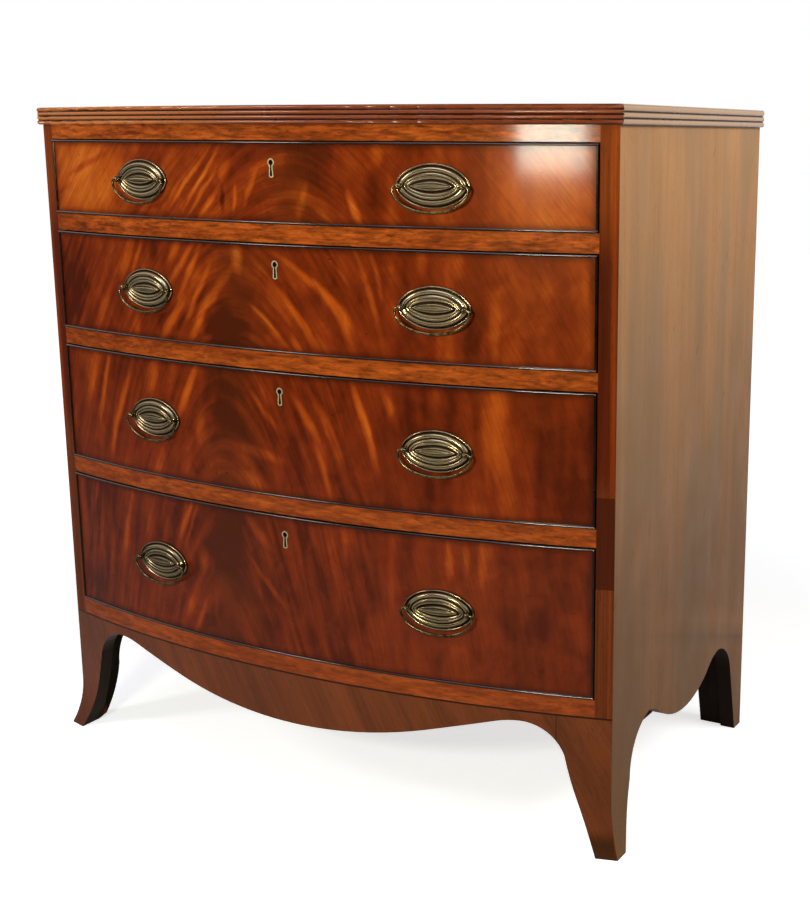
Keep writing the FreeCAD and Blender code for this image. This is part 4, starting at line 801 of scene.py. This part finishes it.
def skin(grid, rings):
    """Covers the space between rings of points that follow one another."""
    for near, far in zip(rings, rings[1:]):
        for step in range(len(near)):
            after = (step + 1) % len(near)
            grid.faces.new((near[step], near[after], far[after], far[step])).smooth = True
    bmesh.ops.remove_doubles(grid, verts=grid.verts, dist=1e-6)
    bmesh.ops.recalc_face_normals(grid, faces=grid.faces)


def plate_mesh(metals):
    """One pressed plate: rings that turn from a pointed oval in the middle to a plain oval at the rim."""
    grid = bmesh.new()
    layer = grid.verts.layers.float.new("rubbed")
    rings = []
    heights = [ring[3] for ring in PLATE_RINGS]
    for index, (share, half, point, height) in enumerate(PLATE_RINGS):
        ring = []
        around = heights[max(0, index - 2):index + 3]
        rubbed = 0.5 + 0.5 * (height - sum(around) / len(around))
        for step in range(metals.plate_steps):
            turn = 2 * pi * step / metals.plate_steps
            x = half * MM * cos(turn)
            rise = abs(sin(turn)) ** point * (1 if sin(turn) > 0 else -1)
            z = metals.plate_half_height * share * rise
            vert = grid.verts.new((x, x * x / (2 * metals.bow_radius) - height * MM, z))
            vert[layer] = rubbed
            ring.append(vert)
        rings.append(ring)
    skin(grid, rings)
    return grid


def bail_mesh(metals):
    """One bail: a round wire in an oval that swells a little, its ends turned in through the posts."""
    half, drop, bend = metals.bail_half_length, metals.bail_drop, metals.bail_corner
    path = [(metals.bail_pin, 0.0)]
    for step in range(BEND_STEPS + 1):
        turn = pi / 2 * step / BEND_STEPS
        path.append((half - bend + bend * sin(turn), bend * cos(turn) - bend))
    for step in range(1, CURVE_STEPS + 1):
        turn = pi / 2 * step / CURVE_STEPS
        path.append((half * cos(turn), -bend - (drop - bend) * sin(turn)))
    path += [(-x, z) for x, z in path[-2::-1]]
    grid = bmesh.new()
    rings = []
    across = Vector((0, 1, 0))
    for place, (x, z) in enumerate(path):
        before, after = path[max(place - 1, 0)], path[min(place + 1, len(path) - 1)]
        along = Vector((after[0] - before[0], 0, after[1] - before[1])).normalized()
        middle = Vector((x, -metals.bail_stand, z))
        thick = metals.bail_wire * (1 - metals.bail_swell * z / drop)
        ring = []
        for step in range(WIRE_STEPS):
            turn = 2 * pi * step / WIRE_STEPS
            outward = along.cross(across) * cos(turn) + across * sin(turn)
            ring.append(grid.verts.new(middle + outward * thick))
        rings.append(ring)
    grid.faces.new(rings[0])
    grid.faces.new(rings[-1])
    skin(grid, rings)
    return grid


class CHEST_OT_handles(bpy.types.Operator):
    """Presses the oval plates, bends the bails and finishes the posts"""

    bl_idname = "chest.handles"
    bl_label = "Handles"

    def execute(self, context):
        metals = context.scene.chest_metals
        wire = aged_brass("Drawn aged brass", metals, metals.wire)
        pressed = aged_brass("Pressed aged brass", metals, metals.brass_bright, pressed=True)
        for number in DRAWERS:
            bails = (f"drawer_{number}_left_bail", f"drawer_{number}_right_bail")
            seats = {joint["child"]: self.seat(joint, metals) for joint in JOINTS if joint["child"] in bails}
            if len(seats) != len(bails):
                raise RuntimeError(f"Drawer {number} lacks the joint of a bail")
            plates = self.piece(context, f"drawer_{number}_pressed_plates", plate_mesh, seats.values(),
                                pressed)
            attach(plates, f"drawer_{number}")
            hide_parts(f"drawer_{number}_handle_plates")
            for name, seat in seats.items():
                bail = self.piece(context, f"{name}_wire", bail_mesh, [seat], wire)
                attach(bail, name)
                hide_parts(name)
            dress(wire, f"drawer_{number}_handle_posts")
        return {"FINISHED"}

    def seat(self, joint, metals):
        """Where a handle sits on the bowed face: the middle of its plate and the way it faces."""
        along = -Vector(joint["axis"]).normalized()
        inward = Vector((0, 0, 1)).cross(along)
        middle = Vector(joint["pos_m"]) + inward * metals.bail_stand
        turn = Matrix((along, inward, (0, 0, 1))).transposed().to_4x4()
        return Matrix.Translation(middle) @ turn

    def piece(self, context, name, make, seats, material):
        """One object with a copy of a fitting on each seat."""
        mesh = bpy.data.meshes.new(name)
        whole = bmesh.new()
        for seat in seats:
            grid = make(context.scene.chest_metals)
            bmesh.ops.transform(grid, matrix=seat, verts=grid.verts)
            grid.to_mesh(mesh)
            grid.free()
            whole.from_mesh(mesh)
        whole.to_mesh(mesh)
        whole.free()
        mesh.materials.append(material)
        item = bpy.data.objects.new(name, mesh)
        context.scene.collection.objects.link(item)
        return item


def soft_lamp(context, name, place, target, width, height, power, tint=(1, 1, 1, 1)):
    """A soft lamp that faces the target."""
    lamp = bpy.data.lights.new(name, "AREA")
    lamp.color = tint[:3]
    lamp.shape = "RECTANGLE"
    lamp.size = width
    lamp.size_y = height
    lamp.energy = power
    holder = bpy.data.objects.new(name, lamp)
    holder.location = place
    holder.rotation_euler = (Vector(target) - Vector(place)).to_track_quat("-Z", "Y").to_euler()
    context.scene.collection.objects.link(holder)


class CHEST_OT_stage(bpy.types.Operator):
    """Sets up the floor, the surround, the lamps and the camera"""

    bl_idname = "chest.stage"
    bl_label = "Stage"

    def execute(self, context):
        stage = context.scene.chest_stage
        context.scene.view_settings.view_transform = "Standard"
        self.surround(context.scene, stage)
        self.floor(context, stage)
        middle = (CAD_BOX[0] + CAD_BOX[1]) / 2
        soft_lamp(context, "Key lamp", place=(0.3, -1.72, 0.888), target=(0.1, -0.2, 0.88), width=0.28,
                  height=0.164, power=stage.key_power, tint=stage.key)
        soft_lamp(context, "Left lamp", place=(-1.5, -1.9, 1.7), target=(-0.3, -0.2, 0.8), width=0.5,
                  height=0.5, power=stage.left_power)
        soft_lamp(context, "Side lamp", place=(1.7, 0.1, 1.75), target=(0.445, 0.03, 0.85), width=0.8,
                  height=0.8, power=stage.side_power)
        soft_lamp(context, "Sky lamp", place=(-0.2, -1.1, 2.5), target=middle, width=1.2, height=0.6,
                  power=stage.sky_power, tint=stage.sky)
        self.camera(context, stage)
        return {"FINISHED"}

    def surround(self, scene, stage):
        """A white room behind the chest and a dim one before it, as gloss and metal show them."""
        scene.world = bpy.data.worlds.new("Studio")
        scene.world.use_nodes = True
        scene.world.node_tree.nodes.clear()
        node = partial(add, scene.world.node_tree)
        path = node("LightPath").outputs
        way = node("TexCoord").outputs["Generated"]
        aside, behind, above = node("SeparateXYZ", (way,)).outputs
        behind = node("MapRange", (behind, -0.05, 0.4, 0.03, 1.0), **SMOOTH)
        left = node("MapRange", (aside, -0.4, -0.7, 0.0, 1.0), **SMOOTH)
        high = node("MapRange", (above, 0.0, 0.2, 0.08, 1.0), **SMOOTH)
        left = node("Math", (left, high), **TIMES)
        above = node("MapRange", (above, 0.15, 0.6, 0.0, 0.8), **SMOOTH)
        mirrored = node("Math", (behind, above), **LARGER)
        mirrored = node("Math", (mirrored, left), **LARGER)
        shiny = node("Math", (path["Is Glossy Ray"], path["Is Transmission Ray"]), **LARGER)
        level = node("Mix", (shiny, stage.surround, mirrored))
        level = node("Math", (level, path["Is Camera Ray"]), **LARGER)
        light = node("Background", {"Color": grey(1.0), "Strength": level})
        node("OutputWorld", (light,))

    def floor(self, context, stage):
        """A round pale floor that fades to white in view, away from the chest's shadow."""
        grid = bmesh.new()
        bmesh.ops.create_circle(grid, cap_ends=True, segments=64, radius=stage.floor_radius)
        mesh = bpy.data.meshes.new("floor")
        grid.to_mesh(mesh)
        grid.free()
        material, node, shader, coords = new_material("Matt paper floor")
        shader.inputs["Base Color"].default_value = stage.floor
        shader.inputs["Roughness"].default_value = 0.9
        shader.inputs["Specular IOR Level"].default_value = 0.0
        path = node("LightPath").outputs
        seen = node("Math", (path["Is Glossy Ray"], path["Is Transmission Ray"]), **LARGER)
        behind = node("SeparateXYZ", (coords["Object"],)).outputs["Y"]
        behind = node("MapRange", (behind, stage.mirror_fore, stage.mirror_back, 0.0, 1.0), **SMOOTH)
        seen = node("Math", (seen, behind), **TIMES)
        seen = node("Math", (seen, path["Is Camera Ray"]), **LARGER)
        far = node("VectorMath", (coords["Object"],), operation="LENGTH").outputs["Value"]
        glow = node("MapRange", (far, stage.floor_near, stage.floor_far, stage.floor_glow, 1.0), **SMOOTH)
        glow = node("Math", (seen, glow), **TIMES)
        join(glow, shader.inputs["Emission Strength"])
        shader.inputs["Emission Color"].default_value = grey(1.0)
        mesh.materials.append(material)
        floor = bpy.data.objects.new("floor", mesh)
        floor.location.z = CAD_BOX[0].z
        context.scene.collection.objects.link(floor)

    def camera(self, context, stage):
        """The photograph's camera: the frame is cut off centre, so the lens is shifted to match."""
        data = bpy.data.cameras.new("Camera")
        data.sensor_width = 36
        data.lens = stage.camera_focus / PHOTO_HEIGHT * data.sensor_width
        data.shift_x = (PHOTO_WIDTH / 2 - stage.axis_pixel) / PHOTO_HEIGHT
        camera = bpy.data.objects.new("Camera", data)
        camera.location = stage.camera_place
        turn = Matrix.Rotation(stage.camera_turn, 3, "Z")
        pitch = Matrix.Rotation(pi / 2 - stage.camera_pitch, 3, "X")
        roll = Matrix.Rotation(stage.camera_roll, 3, "Z")
        camera.rotation_euler = (turn @ pitch @ roll).to_euler()
        context.scene.collection.objects.link(camera)
        context.scene.camera = camera


class CHEST_PT_panel(bpy.types.Panel):
    """Lists the steps that dress the chest"""

    bl_label = "Bow Front Chest"
    bl_space_type = "VIEW_3D"
    bl_region_type = "UI"
    bl_category = "Chest"

    def draw(self, context):
        for step in STEPS:
            self.layout.operator(step.bl_idname)


STEPS = (CHEST_OT_carcass, CHEST_OT_drawers, CHEST_OT_locks, CHEST_OT_handles, CHEST_OT_stage)
GROUPS = {"chest_woods": ChestWoods, "chest_metals": ChestMetals, "chest_stage": ChestStage}


def register():
    for name, group in GROUPS.items():
        bpy.utils.register_class(group)
        setattr(bpy.types.Scene, name, PointerProperty(type=group))
    for item in STEPS + (CHEST_PT_panel,):
        bpy.utils.register_class(item)


def unregister():
    for item in (CHEST_PT_panel,) + STEPS[::-1]:
        bpy.utils.unregister_class(item)
    for name, group in GROUPS.items():
        delattr(bpy.types.Scene, name)
        bpy.utils.unregister_class(group)


def main():
    register()
    bpy.ops.chest.carcass()
    bpy.ops.chest.drawers()
    bpy.ops.chest.locks()
    bpy.ops.chest.handles()
    bpy.ops.chest.stage()


if __name__ == "__main__":
    main()
